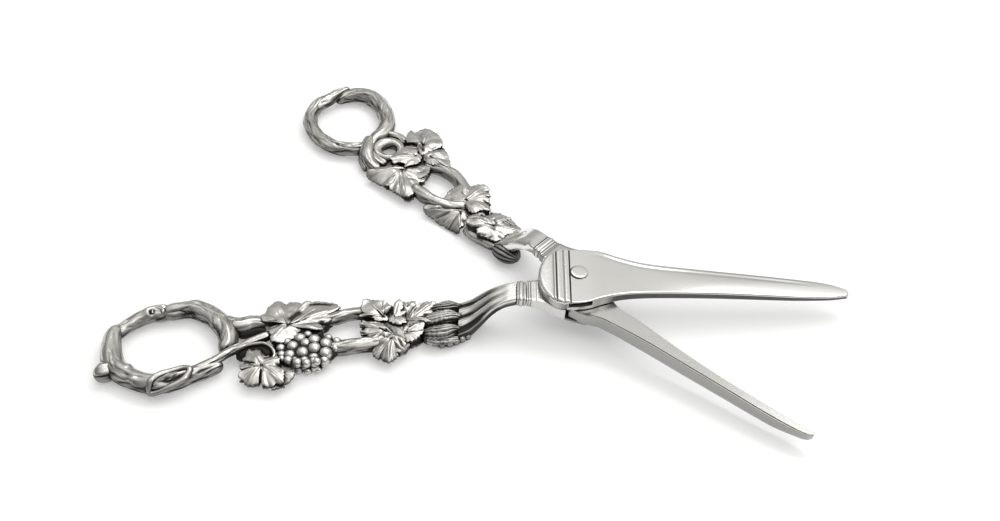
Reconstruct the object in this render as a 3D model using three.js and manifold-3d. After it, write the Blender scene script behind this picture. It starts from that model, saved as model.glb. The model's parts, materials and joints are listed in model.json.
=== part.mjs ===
// Grape shears: two silver levers that cross at a rivet, lying open on a table.
// Millimetres, Z up. Each lever is drawn in its own frame: the pivot at X0 Y0, the blade towards +X,
// the handle towards -X and out to -Y. The lower lever is the mirror image of that frame.
import * as THREE from 'three';
import { mergeVertices } from 'three/addons/utils/BufferGeometryUtils.js';
import Module from 'manifold-3d';

const wasm = await Module();
wasm.setup();
const { degToRad } = THREE.MathUtils;

// How the levers lie: half the angle between the blades, and the joint's tilt down to the tips
const HALF_OPENING = degToRad(20.2);
const JOINT_TILT = degToRad(4.7);
const JOINT_HEIGHT = 10.25;

// Gap between neighbouring pieces, and each lever's distance from the joint plane
const GAP = 0.3;
const HALF_LAP_GAP = 0.15;

// Finger rings: a ten-sided branch that lies flat on the table. The upper one is bent by hand through
// [x, y] points and ends in a cut stub, the lower one is an oval.
const RING_TUBE = 2.48;
const RING_SIDES = 10;
const RING_STEPS = 36;
const UPPER_RING = [
  [-85.7, -11.5], [-93.4, -4.2], [-101, -4.1], [-112, -10.8], [-113, -18], [-108.2, -24.4], [-100.7, -26.7],
  [-90, -22],
];
const STUB = [[-112.5, -20.6], [-115.4, -22]];
const STUB_RADIUS = 1.5;
const LOWER_RING = { x: -98.2, y: -15.5, long: 13.5, short: 11.1, turn: degToRad(22.8) };
const MID_HEIGHT = RING_TUBE * Math.cos(Math.PI / RING_SIDES);

// Joint: plate and shank thickness, disc end of the upper plate, slot, bands and rivet
const PLATE = 2.9;
const SHANK = 3.4;
const SHANK_AT_COLLAR = 2.6;
const SHANK_END = -12.5;
const SHANK_CHAMFER = 0.2;
const SLOT_WALL = -3.2;
const DISC = { x: -3.5, y: -1.05, reach: 6.4, half: 9.15 };
const DISC_TURNS = [8, 25, 45, 62, 74].map(degToRad);
const BANDS = [-5.2, -2.3];
const BAND_HALF_WIDTH = 0.35;
const BAND_DEPTH = 0.4;
const PLATE_CHAMFER = 0.5;
const CHANNEL = { from: -3, to: 3, near: -12, inner: -6.6, depth: 1.5 };
const RIVET_SHAFT = 1.25;
const RIVET_HEAD = 2.1;
const RIVET_SEAT = 2.15;
const RIVET_PROUD = 0.4;
const TAIL_RADIUS = 2.6;
const TAIL_HEIGHT = 0.7;

// Blade edges as [x, y] points, and thickness along the blade
const TIP_START = 60;
const TIP_END = 67.2;
const UPPER_TIP_THICK = 1;
const LOWER_TIP_THICK = 0.8;
const BLADE_CHAMFER = 0.3;
const UPPER_NEAR = [[-3.5, -10.2], [3, -9.4], [9.5, -7.1], [15, -5.4], [25, -3.4], [45, -2.8], [60, -2.4]];
const UPPER_FAR = [[-3.5, 8.1], [5, 7.7], [15, 6], [25, 5.1], [45, 4.2], [60, 3.1]];
const UPPER_THICK = [[-3.5, PLATE], [5, PLATE], [15, 2.1], [25, 1.5], [60, 1.3]];
const LOWER_CUTTING = [[-2.4, -9.9], [2, -8.2], [7, -3.4], [11, -0.7], [18, -0.3], [34, 0.2], [60, -0.9]];
const LOWER_BACK = [[-2.4, 0.3], [4.6, 8.5], [11, 6.1], [21, 4.8], [34, 3.7], [60, 2]];
const LOWER_DEPTH = [[-2.4, SHANK], [4.6, 3.6], [11, 4.1], [50, 4.1], [60, 3.4]];
const LOWER_FLOOR = [[-2.4, SHANK], [4.6, 3.6], [9, 2.2], [18, 1.3], [60, 1.2]];
const FLANGE = 1.3;
const SHANK_OUTER = [[SHANK_END, -7.4], [-9, -8.1], [-5.8, -9.5], [SLOT_WALL, -10.4]];
const SHANK_INNER = [[SHANK_END, -0.6], [-9, -0.35], [SLOT_WALL, -0.3]];

// Collar of two reeds between shank and neck
const COLLAR = { from: -12.8, to: -15, low: -7.6, high: -0.9, top: 0.1, bottom: -2.8, groove: 0.45 };
const REEDS = 2;
const REED_CHAMFER = 0.35;

// Neck stations: x, outer edge, inner edge, underside and top. The foot is cut flat by the table.
const NECK = [
  [-15.3, -7.4, -1.2, 8.6, 11.2], [-18.3, -8.1, -1.5, 8, 10.7], [-21.1, -9, -1.9, 5.9, 9.5],
  [-22.6, -9.6, -1.7, 2.6, 8.5], [-23.6, -10, -1.5, -0.7, 7.7], [-26.4, -11, -2, -0.7, 5.4],
  [-29, -12.2, -2.9, -0.7, 4.8],
];
const NECK_SIDES = 16;
const NECK_SQUARENESS = 0.55;

// Husk: three pods side by side
const HUSK = { from: -29.3, length: 9, first: -4.3, step: -3.7, half: 2.2, rise: 2.3, pods: 3, sides: 10, steps: 6 };

// Stems, branch and tendril as [x, y] points along their middle
const STEM_RADIUS = 1.55;
const BRANCH_RADIUS = 1.05;
const BRANCH_HEIGHT = MID_HEIGHT + 1;
const TENDRIL_RADIUS = 0.45;
const TENDRIL_HEIGHT = MID_HEIGHT + 1.3;
const UPPER_RING_STEM = [[-85.6, -10.2], [-81, -8.7], [-74, -7.4]];
const UPPER_RING_BRANCH = [[-91, -24.2], [-85.5, -19.2], [-79.6, -15.2], [-74, -11.6]];
const UPPER_TENDRIL = [[-79.4, -15.2], [-76.6, -15.4], [-74.6, -16.6], [-74, -18.3], [-74.4, -21.5]];
const UPPER_INNER_STEM = [[-64, -6.8], [-60.3, -6], [-56.7, -4.5], [-53.3, -3.9], [-48, -5]];
const UPPER_OUTER_STEM = [[-62.5, -16.2], [-58, -15.8], [-53.5, -15], [-47, -13.4]];
const LOWER_INNER_STEM = [[-64, -5.8], [-57.5, -4.9], [-53.7, -5.2], [-48, -7.6]];
const LOWER_OUTER_STEM = [[-64, -16.4], [-57, -16.5], [-51.2, -15.3], [-46, -12.6]];
const RING_LOOP = { x: -79.4, y: -13, radius: 3.1, tube: 1.35, sides: 8, steps: 20 };

// Leaves: vein centre, lobe tips, and heights of top and underside above the middle plane [centre, rim]
const FULL_DEPTH = { top: [2.4, 1], under: [-2.2, -1] };
const UPPER_VINE_LEAF = {
  at: [-70, -8.8], ...FULL_DEPTH,
  tips: [[-77.2, -7.6], [-74.5, -2.6], [-69.3, -2], [-60, -4], [-60.3, -9.4], [-64, -12.4], [-74.5, -14.4]],
};
const UPPER_SMALL_LEAF = {
  at: [-74.8, -22.8], top: [2, 0.7], under: [-2, -1],
  tips: [[-77.9, -18.2], [-80, -24.2], [-73.8, -28], [-67.8, -25.4], [-71, -20]],
};
const UPPER_ROSETTE_LEAF = {
  at: [-45, -8.4], ...FULL_DEPTH,
  tips: [[-51.4, -1.6], [-45.2, -1.2], [-40.4, -1.6], [-36.6, -4.6], [-53, -9.4], [-38, -11.5]],
};
const UPPER_ROSETTE_OUTER_LEAF = {
  at: [-45, -14.4], top: [2, 0.9], under: [-2, -1],
  tips: [[-51, -13.2], [-50, -17], [-45.5, -19.8], [-40.8, -17.6], [-37.6, -13.2]],
};
const LOWER_FOLDED_LEAF = {
  at: [-69, -18.6], top: [3.2, 1.6], under: [-2, -0.8],
  tips: [[-77.6, -21.6], [-74.8, -26.4], [-68.8, -25.4], [-63.8, -22], [-60, -17]],
};
const LOWER_FRONT_LEAF = {
  at: [-71.8, -13], top: [2.7, 1.2], under: [-2, -1],
  tips: [[-75.4, -16], [-75.4, -10.4], [-71, -9.2], [-67.8, -10.8], [-67.4, -15]],
};
const LOWER_BROAD_LEAF = {
  at: [-68, -6.6], top: [1.9, 0.7], under: [-2.1, -1],
  tips: [[-76.2, -2.8], [-70.8, -1.2], [-65, -1.2], [-60, -2], [-60.6, -5.8], [-63.2, -11], [-74, -7.6]],
};
const LOWER_CLUSTER_LEAF = {
  at: [-46.8, -12], ...FULL_DEPTH,
  tips: [[-52.4, -8.8], [-51.4, -14.4], [-45.6, -18.6], [-40.6, -15], [-39, -10.4]],
};
const LOWER_HANGING_LEAF = {
  at: [-46.4, -4.8], top: [1.7, 0.7], under: [-2.1, -1],
  tips: [[-54, -2.4], [-48.4, -1], [-42.4, -1], [-40, -3.6], [-42.4, -7.6]],
};
const LOWER_NECK_LEAF = {
  at: [-34, -6.8], top: [3.4, 2.5], under: [1.6, 1.3],
  tips: [[-39, -3.8], [-38.4, -8.6], [-34.4, -11], [-29.6, -9], [-29.8, -3.6], [-34.6, -2.6]],
};
const LOBE_SPREAD = 1.8;
const LOBE_SINUS = 0.5;
const LEAF_SPOKES = 36;
const LEAF_RINGS = [0.55, 1];

// Grapes in columns across the bunch, on a rounded core
const GRAPE_RADIUS = 1.35;
const GRAPE_STEP = 2.35;
const GRAPE_COLUMNS = [3, 4, 4, 4, 3, 2];
const BUNCH_START = [-70.8, -17.6];
const BUNCH_HEADING = degToRad(6);
const BUNCH_CROWN = 1;
const BUNCH_CORE = { x: -64.8, y: -16.9, half: [5.8, 4.2, 2.1] };

// Silver tones: polished blades, and darker cast handles
const POLISHED = { color: 0xd6d3cb, roughness: 0.22, metalness: 1 };
const CAST = { color: 0xa9a49b, roughness: 0.34, metalness: 1 };

const at = (x, y, z) => new THREE.Vector3(x, y, z);

function middleOf(points) {
  const sum = points.reduce((total, p) => total.add(p), at(0, 0, 0));
  return sum.divideScalar(points.length);
}

function signedVolume(corners) {
  let six = 0;
  for (let i = 0; i < corners.length; i += 3) {
    six += corners[i].dot(corners[i + 1].clone().cross(corners[i + 2]));
  }
  return six / 6;
}

// A solid from a closed three.js geometry
function solidOf(geometry) {
  const bare = geometry.clone();
  bare.deleteAttribute('normal');
  bare.deleteAttribute('uv');
  const merged = mergeVertices(bare, 1e-4);
  return new wasm.Manifold(new wasm.Mesh({
    numProp: 3,
    vertProperties: Float32Array.from(merged.attributes.position.array),
    triVerts: Uint32Array.from(merged.index.array),
  }));
}

// A solid skinned over a row of outlines. Open rows are closed with a fan at each end.
function skin(outlines, looped = false) {
  const rows = looped
    ? [...outlines, outlines[0]]
    : [[middleOf(outlines[0])], ...outlines, [middleOf(outlines.at(-1))]];
  const corners = [];
  for (let i = 0; i + 1 < rows.length; i++) {
    const [a, b] = [rows[i], rows[i + 1]];
    const count = Math.max(a.length, b.length);
    for (let k = 0; k < count; k++) {
      const [a0, a1] = [a[k % a.length], a[(k + 1) % a.length]];
      const [b0, b1] = [b[k % b.length], b[(k + 1) % b.length]];
      if (a.length > 1) corners.push(a0, a1, b0);
      if (b.length > 1) corners.push(a1, b1, b0);
    }
  }
  if (signedVolume(corners) < 0) corners.reverse();
  return solidOf(new THREE.BufferGeometry().setFromPoints(corners));
}

// A smooth curve y(x) through [x, y] points
function smooth(points) {
  const xs = points.map((p) => p[0]);
  const ys = points.map((p) => p[1]);
  const curve = new THREE.CubicInterpolant(xs, ys, 1, new Float32Array(1));
  return (x) => curve.evaluate(THREE.MathUtils.clamp(x, xs[0], xs.at(-1)))[0];
}

// Tube along [x, y] points at one height
function tube(points, height, radius, grow, steps = 8) {
  const path = new THREE.CatmullRomCurve3(points.map(([x, y]) => at(x, y, height)));
  const section = new THREE.Shape().absarc(0, 0, radius + grow, 0, Math.PI * 2);
  const settings = { extrudePath: path, steps, curveSegments: 5, bevelEnabled: false };
  return solidOf(new THREE.ExtrudeGeometry(section, settings));
}

// Branch round a closed flat curve, its lowest facet level
function branchLoop(curve, radius, sides, steps) {
  const outlines = [];
  for (let i = 0; i < steps; i++) {
    const centre = curve.getPoint(i / steps);
    const way = curve.getTangent(i / steps);
    const ring = [];
    for (let k = 0; k < sides; k++) {
      const a = ((k + 0.5) / sides) * Math.PI * 2 - Math.PI / 2;
      const out = radius * Math.cos(a);
      ring.push(at(centre.x + way.y * out, centre.y - way.x * out, MID_HEIGHT + radius * Math.sin(a)));
    }
    outlines.push(ring);
  }
  return skin(outlines, true);
}

function upperRing(grow) {
  const bend = new THREE.CatmullRomCurve3(UPPER_RING.map(([x, y]) => at(x, y, 0)), true);
  const ring = branchLoop(bend, RING_TUBE + grow, RING_SIDES, RING_STEPS);
  return ring.add(tube(STUB, MID_HEIGHT, STUB_RADIUS, grow, 2));
}

function lowerRing(grow) {
  const { x, y, long, short, turn } = LOWER_RING;
  const oval = new THREE.EllipseCurve(x, y, long, short, 0, Math.PI * 2, false, turn);
  return branchLoop(oval, RING_TUBE + grow, RING_SIDES, RING_STEPS);
}

function ringLoop(grow) {
  const { x, y, radius, tube: thick, sides, steps } = RING_LOOP;
  return branchLoop(new THREE.EllipseCurve(x, y, radius, radius), thick + grow, sides, steps);
}

// Distance from a leaf's vein centre to its rim, one rounded lobe for each tip
function leafReach(leaf, angle) {
  const reaches = leaf.tips.map(([x, y]) => {
    const [dx, dy] = [x - leaf.at[0], y - leaf.at[1]];
    const turn = THREE.MathUtils.euclideanModulo(angle - Math.atan2(dy, dx) + Math.PI, Math.PI * 2);
    const away = Math.min(Math.abs(turn - Math.PI) * LOBE_SPREAD, Math.PI / 2);
    return Math.hypot(dx, dy) * (LOBE_SINUS + (1 - LOBE_SINUS) * Math.cos(away));
  });
  return Math.max(...reaches);
}

// Cast leaf: a domed top and underside that meet at a thick lobed rim
function leaf(spec, grow) {
  const ringAt = (share, [centre, rim], rise) => {
    const height = MID_HEIGHT + rim + (centre - rim) * (1 - share * share) + rise;
    const points = [];
    for (let k = 0; k < LEAF_SPOKES; k++) {
      const angle = (k / LEAF_SPOKES) * Math.PI * 2;
      const reach = (leafReach(spec, angle) + grow) * share;
      points.push(at(spec.at[0] + reach * Math.cos(angle), spec.at[1] + reach * Math.sin(angle), height));
    }
    return points;
  };
  const top = LEAF_RINGS.map((share) => ringAt(share, spec.top, grow));
  const under = LEAF_RINGS.map((share) => ringAt(share, spec.under, -grow)).reverse();
  const crown = [at(...spec.at, MID_HEIGHT + spec.top[0] + grow)];
  const base = [at(...spec.at, MID_HEIGHT + spec.under[0] - grow)];
  return skin([crown, ...top, ...under, base]);
}

function grapeBunch(grow) {
  const [cx, cy, cz] = BUNCH_CORE.half;
  const core = new THREE.SphereGeometry(1, 16, 10).rotateX(Math.PI / 2);
  core.scale(cx + grow, cy + grow, cz + grow).translate(BUNCH_CORE.x, BUNCH_CORE.y, MID_HEIGHT);
  const along = at(Math.cos(BUNCH_HEADING), Math.sin(BUNCH_HEADING), 0);
  const across = at(-along.y, along.x, 0);
  let bunch = solidOf(core);
  GRAPE_COLUMNS.forEach((count, column) => {
    for (let row = 0; row < count; row++) {
      const sideways = (row - (count - 1) / 2) * GRAPE_STEP;
      const crown = BUNCH_CROWN * (1 - (sideways / (2 * GRAPE_STEP)) ** 2);
      const centre = at(...BUNCH_START, MID_HEIGHT + crown)
        .addScaledVector(along, column * GRAPE_STEP)
        .addScaledVector(across, sideways);
      const grape = new THREE.IcosahedronGeometry(GRAPE_RADIUS + grow, 1).translate(...centre);
      bunch = bunch.add(solidOf(grape));
    }
  });
  return bunch;
}

// Three pods, round at the leaf end and cut off square at the neck
function husk(grow) {
  const pod = (y) => {
    const outlines = [];
    for (let i = 0; i < HUSK.steps; i++) {
      const share = i / HUSK.steps;
      const swell = Math.sqrt(1 - share * share) * (0.85 + 0.3 * share);
      const outline = [];
      for (let k = 0; k < HUSK.sides; k++) {
        const a = (k / HUSK.sides) * Math.PI * 2;
        const side = (HUSK.half + grow) * swell * Math.cos(a);
        const rise = (HUSK.rise + grow) * swell * Math.sin(a);
        outline.push(at(HUSK.from - HUSK.length * share, y + side, MID_HEIGHT + rise));
      }
      outlines.push(outline);
    }
    return skin(outlines);
  };
  let bundle = pod(HUSK.first);
  for (let i = 1; i < HUSK.pods; i++) bundle = bundle.add(pod(HUSK.first + i * HUSK.step));
  return bundle;
}

function neck() {
  const bulge = (value) => Math.sign(value) * Math.abs(value) ** NECK_SQUARENESS;
  return skin(NECK.map(([x, outer, inner, under, top]) => {
    const outline = [];
    for (let k = 0; k < NECK_SIDES; k++) {
      const a = ((k + 0.5) / NECK_SIDES) * Math.PI * 2;
      const y = (outer + inner) / 2 + ((inner - outer) / 2) * bulge(Math.cos(a));
      const z = (under + top) / 2 + ((top - under) / 2) * bulge(Math.sin(a));
      outline.push(at(x, y, Math.max(z, 0)));
    }
    return outline;
  }));
}

// Bar section with its top edges chamfered
function barSection(x, low, high, bottom, top, chamfer) {
  return [
    at(x, low, bottom), at(x, high, bottom), at(x, high, top - chamfer),
    at(x, high - chamfer, top), at(x, low + chamfer, top), at(x, low, top - chamfer),
  ];
}

function stations(from, to, count) {
  return Array.from({ length: count + 1 }, (_, i) => THREE.MathUtils.lerp(from, to, i / count));
}

// How far a blade's round tip has narrowed at x, from 1 down to 0
function tipNarrowing(x) {
  const share = Math.max(0, (x - TIP_START) / (TIP_END - TIP_START));
  return Math.sqrt(Math.max(0, 1 - share * share));
}

function bore(radius, bottom, top) {
  const cylinder = new THREE.CylinderGeometry(radius, radius, top - bottom, 24);
  return solidOf(cylinder.rotateX(Math.PI / 2).translate(0, 0, (bottom + top) / 2));
}

function shank(topAt) {
  const [outer, inner] = [smooth(SHANK_OUTER), smooth(SHANK_INNER)];
  return skin([SHANK_END, -10.4, -8.6, -5.8, SLOT_WALL].map((x) => {
    const share = (x - SHANK_END) / (SLOT_WALL - SHANK_END);
    const bottom = -THREE.MathUtils.lerp(SHANK_AT_COLLAR, SHANK, share);
    return barSection(x, outer(x), inner(x), bottom, topAt(x), SHANK_CHAMFER);
  }));
}

function upperBlade() {
  const [near, far, thick] = [smooth(UPPER_NEAR), smooth(UPPER_FAR), smooth(UPPER_THICK)];
  const sections = [];
  const discSection = (x, top) => {
    const share = Math.min(0, (x - DISC.x) / DISC.reach);
    const half = DISC.half * Math.sqrt(1 - share * share);
    sections.push(barSection(x, DISC.y - half, DISC.y + half, HALF_LAP_GAP, top, PLATE_CHAMFER));
  };
  for (const turn of DISC_TURNS) discSection(DISC.x - DISC.reach * Math.cos(turn), PLATE);
  for (const band of BANDS) {
    discSection(band - BAND_HALF_WIDTH, PLATE);
    discSection(band, PLATE - BAND_DEPTH);
    discSection(band + BAND_HALF_WIDTH, PLATE);
  }
  const tipMiddle = (near(TIP_START) + far(TIP_START)) / 2;
  for (const x of [...stations(0, 24, 6), ...stations(32, TIP_START, 4), 63, 65.4, 66.7, TIP_END - 0.1]) {
    const narrow = tipNarrowing(x);
    const middle = x < TIP_START ? (near(x) + far(x)) / 2 : tipMiddle;
    const half = ((far(x) - near(x)) / 2) * narrow;
    const top = THREE.MathUtils.lerp(UPPER_TIP_THICK, thick(x), narrow);
    const chamfer = Math.max(BLADE_CHAMFER * narrow, HALF_LAP_GAP / 5);
    sections.push(barSection(x, middle - half, middle + half, HALF_LAP_GAP, top, chamfer));
  }
  const { from, to, near: outside, inner, depth } = CHANNEL;
  const channel = new THREE.BoxGeometry(to - from, inner - outside, depth * 2);
  channel.translate((from + to) / 2, (inner + outside) / 2, 0);
  return skin(sections)
    .subtract(solidOf(channel))
    .add(shank((x) => (x < -9.5 ? -0.1 : 0.6)))
    .subtract(bore(RIVET_SHAFT + GAP, -SHANK, PLATE * 2))
    .subtract(bore(RIVET_HEAD + GAP, RIVET_SEAT, PLATE * 2));
}

// Lower blade: an L section, flat on top, with a deep flange along its back
function lowerBlade() {
  const [cutting, back] = [smooth(LOWER_CUTTING), smooth(LOWER_BACK)];
  const [depth, floor] = [smooth(LOWER_DEPTH), smooth(LOWER_FLOOR)];
  const tipMiddle = (cutting(TIP_START) + back(TIP_START)) / 2;
  const section = (x) => {
    const narrow = tipNarrowing(x);
    const middle = x < TIP_START ? (cutting(x) + back(x)) / 2 : tipMiddle;
    const half = ((back(x) - cutting(x)) / 2) * narrow;
    const [low, high] = [middle - half, middle + half];
    const plate = THREE.MathUtils.lerp(LOWER_TIP_THICK, floor(x), narrow);
    const deep = plate + (depth(x) - floor(x)) * narrow;
    const wall = Math.min(FLANGE, half);
    return [
      at(x, low, -HALF_LAP_GAP), at(x, high, -HALF_LAP_GAP), at(x, high, -deep),
      at(x, high - wall, -deep), at(x, high - wall - 0.6 * narrow, -plate - (deep - plate) * 0.25),
      at(x, low, -plate),
    ];
  };
  const xs = [-2.4, 1, 4.6, 6.5, 9, 11, ...stations(15, TIP_START, 8), 62.5, 65, 66.5, TIP_END - 0.2];
  return skin(xs.map(section))
    .add(shank(() => -HALF_LAP_GAP))
    .add(shankRoot())
    .subtract(bore(RIVET_SHAFT + GAP, -SHANK * 2, SHANK));
}

// Short block that carries the lower shank into the blade
function shankRoot() {
  const [outer, cutting] = [smooth(SHANK_OUTER), smooth(LOWER_CUTTING)];
  return skin([SLOT_WALL - 0.5, -1.5].map((x) => {
    const low = x < SLOT_WALL ? outer(x) : cutting(x);
    return barSection(x, low, -GAP, -SHANK, -HALF_LAP_GAP, SHANK_CHAMFER);
  }));
}

function collar() {
  const { from, to, low, high, top, bottom, groove } = COLLAR;
  const pitch = (to - from) / REEDS;
  const sections = [];
  for (let reed = 0; reed < REEDS; reed++) {
    for (const [share, inset] of [[0, groove], [0.25, 0], [0.75, 0], [0.97, groove]]) {
      const x = from + pitch * (reed + share);
      sections.push(barSection(x, low + inset, high - inset, bottom + inset, top - inset, REED_CHAMFER));
    }
  }
  return skin(sections);
}

function rivet() {
  const seat = RIVET_SEAT + GAP;
  const tail = -SHANK - GAP;
  const profile = [
    [0, tail - TAIL_HEIGHT], [TAIL_RADIUS - 0.3, tail - TAIL_HEIGHT], [TAIL_RADIUS, tail - 0.3],
    [TAIL_RADIUS, tail], [RIVET_SHAFT, tail], [RIVET_SHAFT, seat], [RIVET_HEAD, seat],
    [RIVET_HEAD, PLATE + RIVET_PROUD / 2], [RIVET_HEAD - 0.4, PLATE + RIVET_PROUD], [0, PLATE + RIVET_PROUD],
  ].map(([r, z]) => new THREE.Vector2(r, z));
  return solidOf(new THREE.LatheGeometry(profile, 24).rotateX(Math.PI / 2));
}

// Pieces in the order in which they are fitted: each is cut back from the ones before it
const UPPER_HANDLE = {
  upper_finger_ring: upperRing,
  upper_vine_leaf: (grow) => leaf(UPPER_VINE_LEAF, grow),
  upper_grape_bunch: grapeBunch,
  upper_small_leaf: (grow) => leaf(UPPER_SMALL_LEAF, grow),
  upper_rosette_leaf: (grow) => leaf(UPPER_ROSETTE_LEAF, grow),
  upper_rosette_outer_leaf: (grow) => leaf(UPPER_ROSETTE_OUTER_LEAF, grow),
  upper_ring_stem: (grow) => tube(UPPER_RING_STEM, MID_HEIGHT, STEM_RADIUS, grow),
  upper_ring_branch: (grow) => tube(UPPER_RING_BRANCH, BRANCH_HEIGHT, BRANCH_RADIUS, grow),
  upper_tendril: (grow) => tube(UPPER_TENDRIL, TENDRIL_HEIGHT, TENDRIL_RADIUS, grow),
  upper_inner_stem: (grow) => tube(UPPER_INNER_STEM, MID_HEIGHT, STEM_RADIUS, grow),
  upper_outer_stem: (grow) => tube(UPPER_OUTER_STEM, MID_HEIGHT, STEM_RADIUS, grow),
  upper_husk: husk,
  upper_neck: neck,
};
const LOWER_HANDLE = {
  lower_finger_ring: lowerRing,
  lower_front_leaf: (grow) => leaf(LOWER_FRONT_LEAF, grow),
  lower_folded_leaf: (grow) => leaf(LOWER_FOLDED_LEAF, grow),
  lower_broad_leaf: (grow) => leaf(LOWER_BROAD_LEAF, grow),
  lower_cluster_leaf: (grow) => leaf(LOWER_CLUSTER_LEAF, grow),
  lower_hanging_leaf: (grow) => leaf(LOWER_HANGING_LEAF, grow),
  lower_neck_leaf: (grow) => leaf(LOWER_NECK_LEAF, grow),
  lower_ring_loop: ringLoop,
  lower_inner_stem: (grow) => tube(LOWER_INNER_STEM, MID_HEIGHT, STEM_RADIUS, grow),
  lower_outer_stem: (grow) => tube(LOWER_OUTER_STEM, MID_HEIGHT, STEM_RADIUS, grow),
  lower_husk: husk,
  lower_neck: neck,
};

function meshOf(name, solid, finish) {
  const { vertProperties, triVerts } = solid.getMesh();
  const geometry = new THREE.BufferGeometry();
  geometry.setAttribute('position', new THREE.BufferAttribute(vertProperties, 3));
  geometry.setIndex(new THREE.BufferAttribute(triVerts, 1));
  geometry.computeVertexNormals();
  const mesh = new THREE.Mesh(geometry, new THREE.MeshStandardMaterial(finish));
  mesh.name = name;
  return mesh;
}

// Handle pieces lie level, and the blade pieces lie in the tilted joint plane
function lever(handle, joint) {
  const group = new THREE.Group();
  const fitted = [];
  for (const [name, make] of Object.entries(handle)) {
    const solid = fitted.reduce((left, earlier) => left.subtract(earlier(GAP)), make(0));
    group.add(meshOf(name, solid, CAST));
    fitted.push(make);
  }
  const tilted = new THREE.Group();
  const hinge = at(Math.sin(HALF_OPENING), Math.cos(HALF_OPENING), 0);
  tilted.quaternion.setFromAxisAngle(hinge, JOINT_TILT);
  tilted.position.z = JOINT_HEIGHT;
  for (const [name, solid] of Object.entries(joint)) tilted.add(meshOf(name, solid, POLISHED));
  group.add(tilted);
  return group;
}

const upper = lever(UPPER_HANDLE, {
  upper_blade: upperBlade(),
  upper_collar: collar(),
  pivot_rivet: rivet(),
});
upper.rotation.z = HALF_OPENING;

const lower = lever(LOWER_HANDLE, { lower_blade: lowerBlade(), lower_collar: collar() });
lower.rotation.z = -HALF_OPENING;
lower.scale.y = -1;

// The origin is under the middle of the object, on the table
const shears = new THREE.Group();
shears.add(upper, lower);
const box = new THREE.Box3().setFromObject(shears, true);
const centre = box.getCenter(at(0, 0, 0));
shears.position.set(-centre.x, -centre.y, -box.min.z);

export default shears;
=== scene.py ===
"""Silver grape shears: cast vine handles and polished blades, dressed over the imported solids."""
import json
import math

import bpy
import numpy as np
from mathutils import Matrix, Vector
from mathutils.bvhtree import BVHTree


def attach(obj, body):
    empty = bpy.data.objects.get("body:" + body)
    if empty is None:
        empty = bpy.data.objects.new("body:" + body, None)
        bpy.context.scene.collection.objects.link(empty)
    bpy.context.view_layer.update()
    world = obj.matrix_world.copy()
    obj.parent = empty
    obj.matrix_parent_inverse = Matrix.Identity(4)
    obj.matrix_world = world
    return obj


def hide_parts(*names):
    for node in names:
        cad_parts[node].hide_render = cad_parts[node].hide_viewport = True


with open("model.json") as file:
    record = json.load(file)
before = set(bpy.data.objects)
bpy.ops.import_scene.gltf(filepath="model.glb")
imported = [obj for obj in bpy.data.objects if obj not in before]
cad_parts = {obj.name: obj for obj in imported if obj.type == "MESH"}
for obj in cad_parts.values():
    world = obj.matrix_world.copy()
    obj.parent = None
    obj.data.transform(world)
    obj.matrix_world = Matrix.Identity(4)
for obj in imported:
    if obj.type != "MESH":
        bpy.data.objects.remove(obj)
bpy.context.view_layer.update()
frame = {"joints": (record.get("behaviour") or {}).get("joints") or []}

# Lever frame in millimetres: the pivot at X0 Y0, the blade towards +X, the handle towards -X and out to -Y
PIVOT = np.array(frame["joints"][0]["pos_m"]) * 1000
HALF_OPENING = math.radians(20.2)
JOINT_TILT = math.radians(4.7)
MID = 2.36  # height of the handles' middle plane
LOWEST = 0.02  # lowest underside of a leaf or pod
UP = np.array([0.0, 0.0, 1.0])
TURN = 2 * np.pi


class Lever:
    """One lever: its body, and where its own frame lies in the row frame."""

    def __init__(self, body, mirrored):
        self.body = body
        self.flip = -1 if mirrored else 1
        self.turn = self.flip * HALF_OPENING

    def place(self, points):
        c, s = math.cos(self.turn), math.sin(self.turn)
        x, y, z = points[:, 0], points[:, 1] * self.flip, points[:, 2]
        return xyz(c * x - s * y + PIVOT[0], s * x + c * y + PIVOT[1], z) / 1000


UPPER = Lever("upper_lever", False)
LOWER = Lever("lower_lever", True)


def tilted(points):
    """Joint plane to lever frame: the joint slopes down to the blade tips."""
    axis = np.array([math.sin(HALF_OPENING), math.cos(HALF_OPENING), 0])
    c, s = math.cos(JOINT_TILT), math.sin(JOINT_TILT)
    along_axis = np.outer(points @ axis, axis) * (1 - c)
    turned = points * c + np.cross(axis, points) * s + along_axis
    return turned + [0, 0, PIVOT[2]]


# Curves and unevenness

def smooth(points):
    """A smooth curve y(x) through [x, y] points."""
    xs, ys = np.array(sorted(points), float).T
    slopes = np.gradient(ys, xs)

    def curve(x):
        x = np.clip(x, xs[0], xs[-1])
        i = np.clip(np.searchsorted(xs, x) - 1, 0, len(xs) - 2)
        h = xs[i + 1] - xs[i]
        t = (x - xs[i]) / h
        start = (1 + 2 * t) * (1 - t) ** 2 * ys[i] + t * (1 - t) ** 2 * h * slopes[i]
        end = t * t * (3 - 2 * t) * ys[i + 1] + t * t * (t - 1) * h * slopes[i + 1]
        return start + end

    return curve


def lengths(rows):
    """How far each row of points lies along the line through them."""
    return np.r_[0, np.cumsum(np.linalg.norm(np.diff(rows, axis=0), axis=1))]


def unit(rows):
    return rows / np.linalg.norm(rows, axis=1)[:, None]


def along(points, step):
    """Rows of numbers every step millimetres along a smooth line through the given rows."""
    rows = np.array(points, float)
    reach = lengths(rows[:, :3])
    fine = np.linspace(0, reach[-1], max(8, int(reach[-1] / step) + 1))
    return np.stack([smooth(list(zip(reach, column)))(fine) for column in rows.T], axis=1)


def ripple(points, size, seed):
    """Seeded unevenness from about -1 to 1, with swells about size millimetres across."""
    rng = np.random.default_rng(seed)
    waves = rng.normal(size=(9, 3)) * 2.2 / size
    return np.sin(points @ waves.T + rng.uniform(0, TURN, 9)).sum(axis=1) / 4.5


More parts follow.
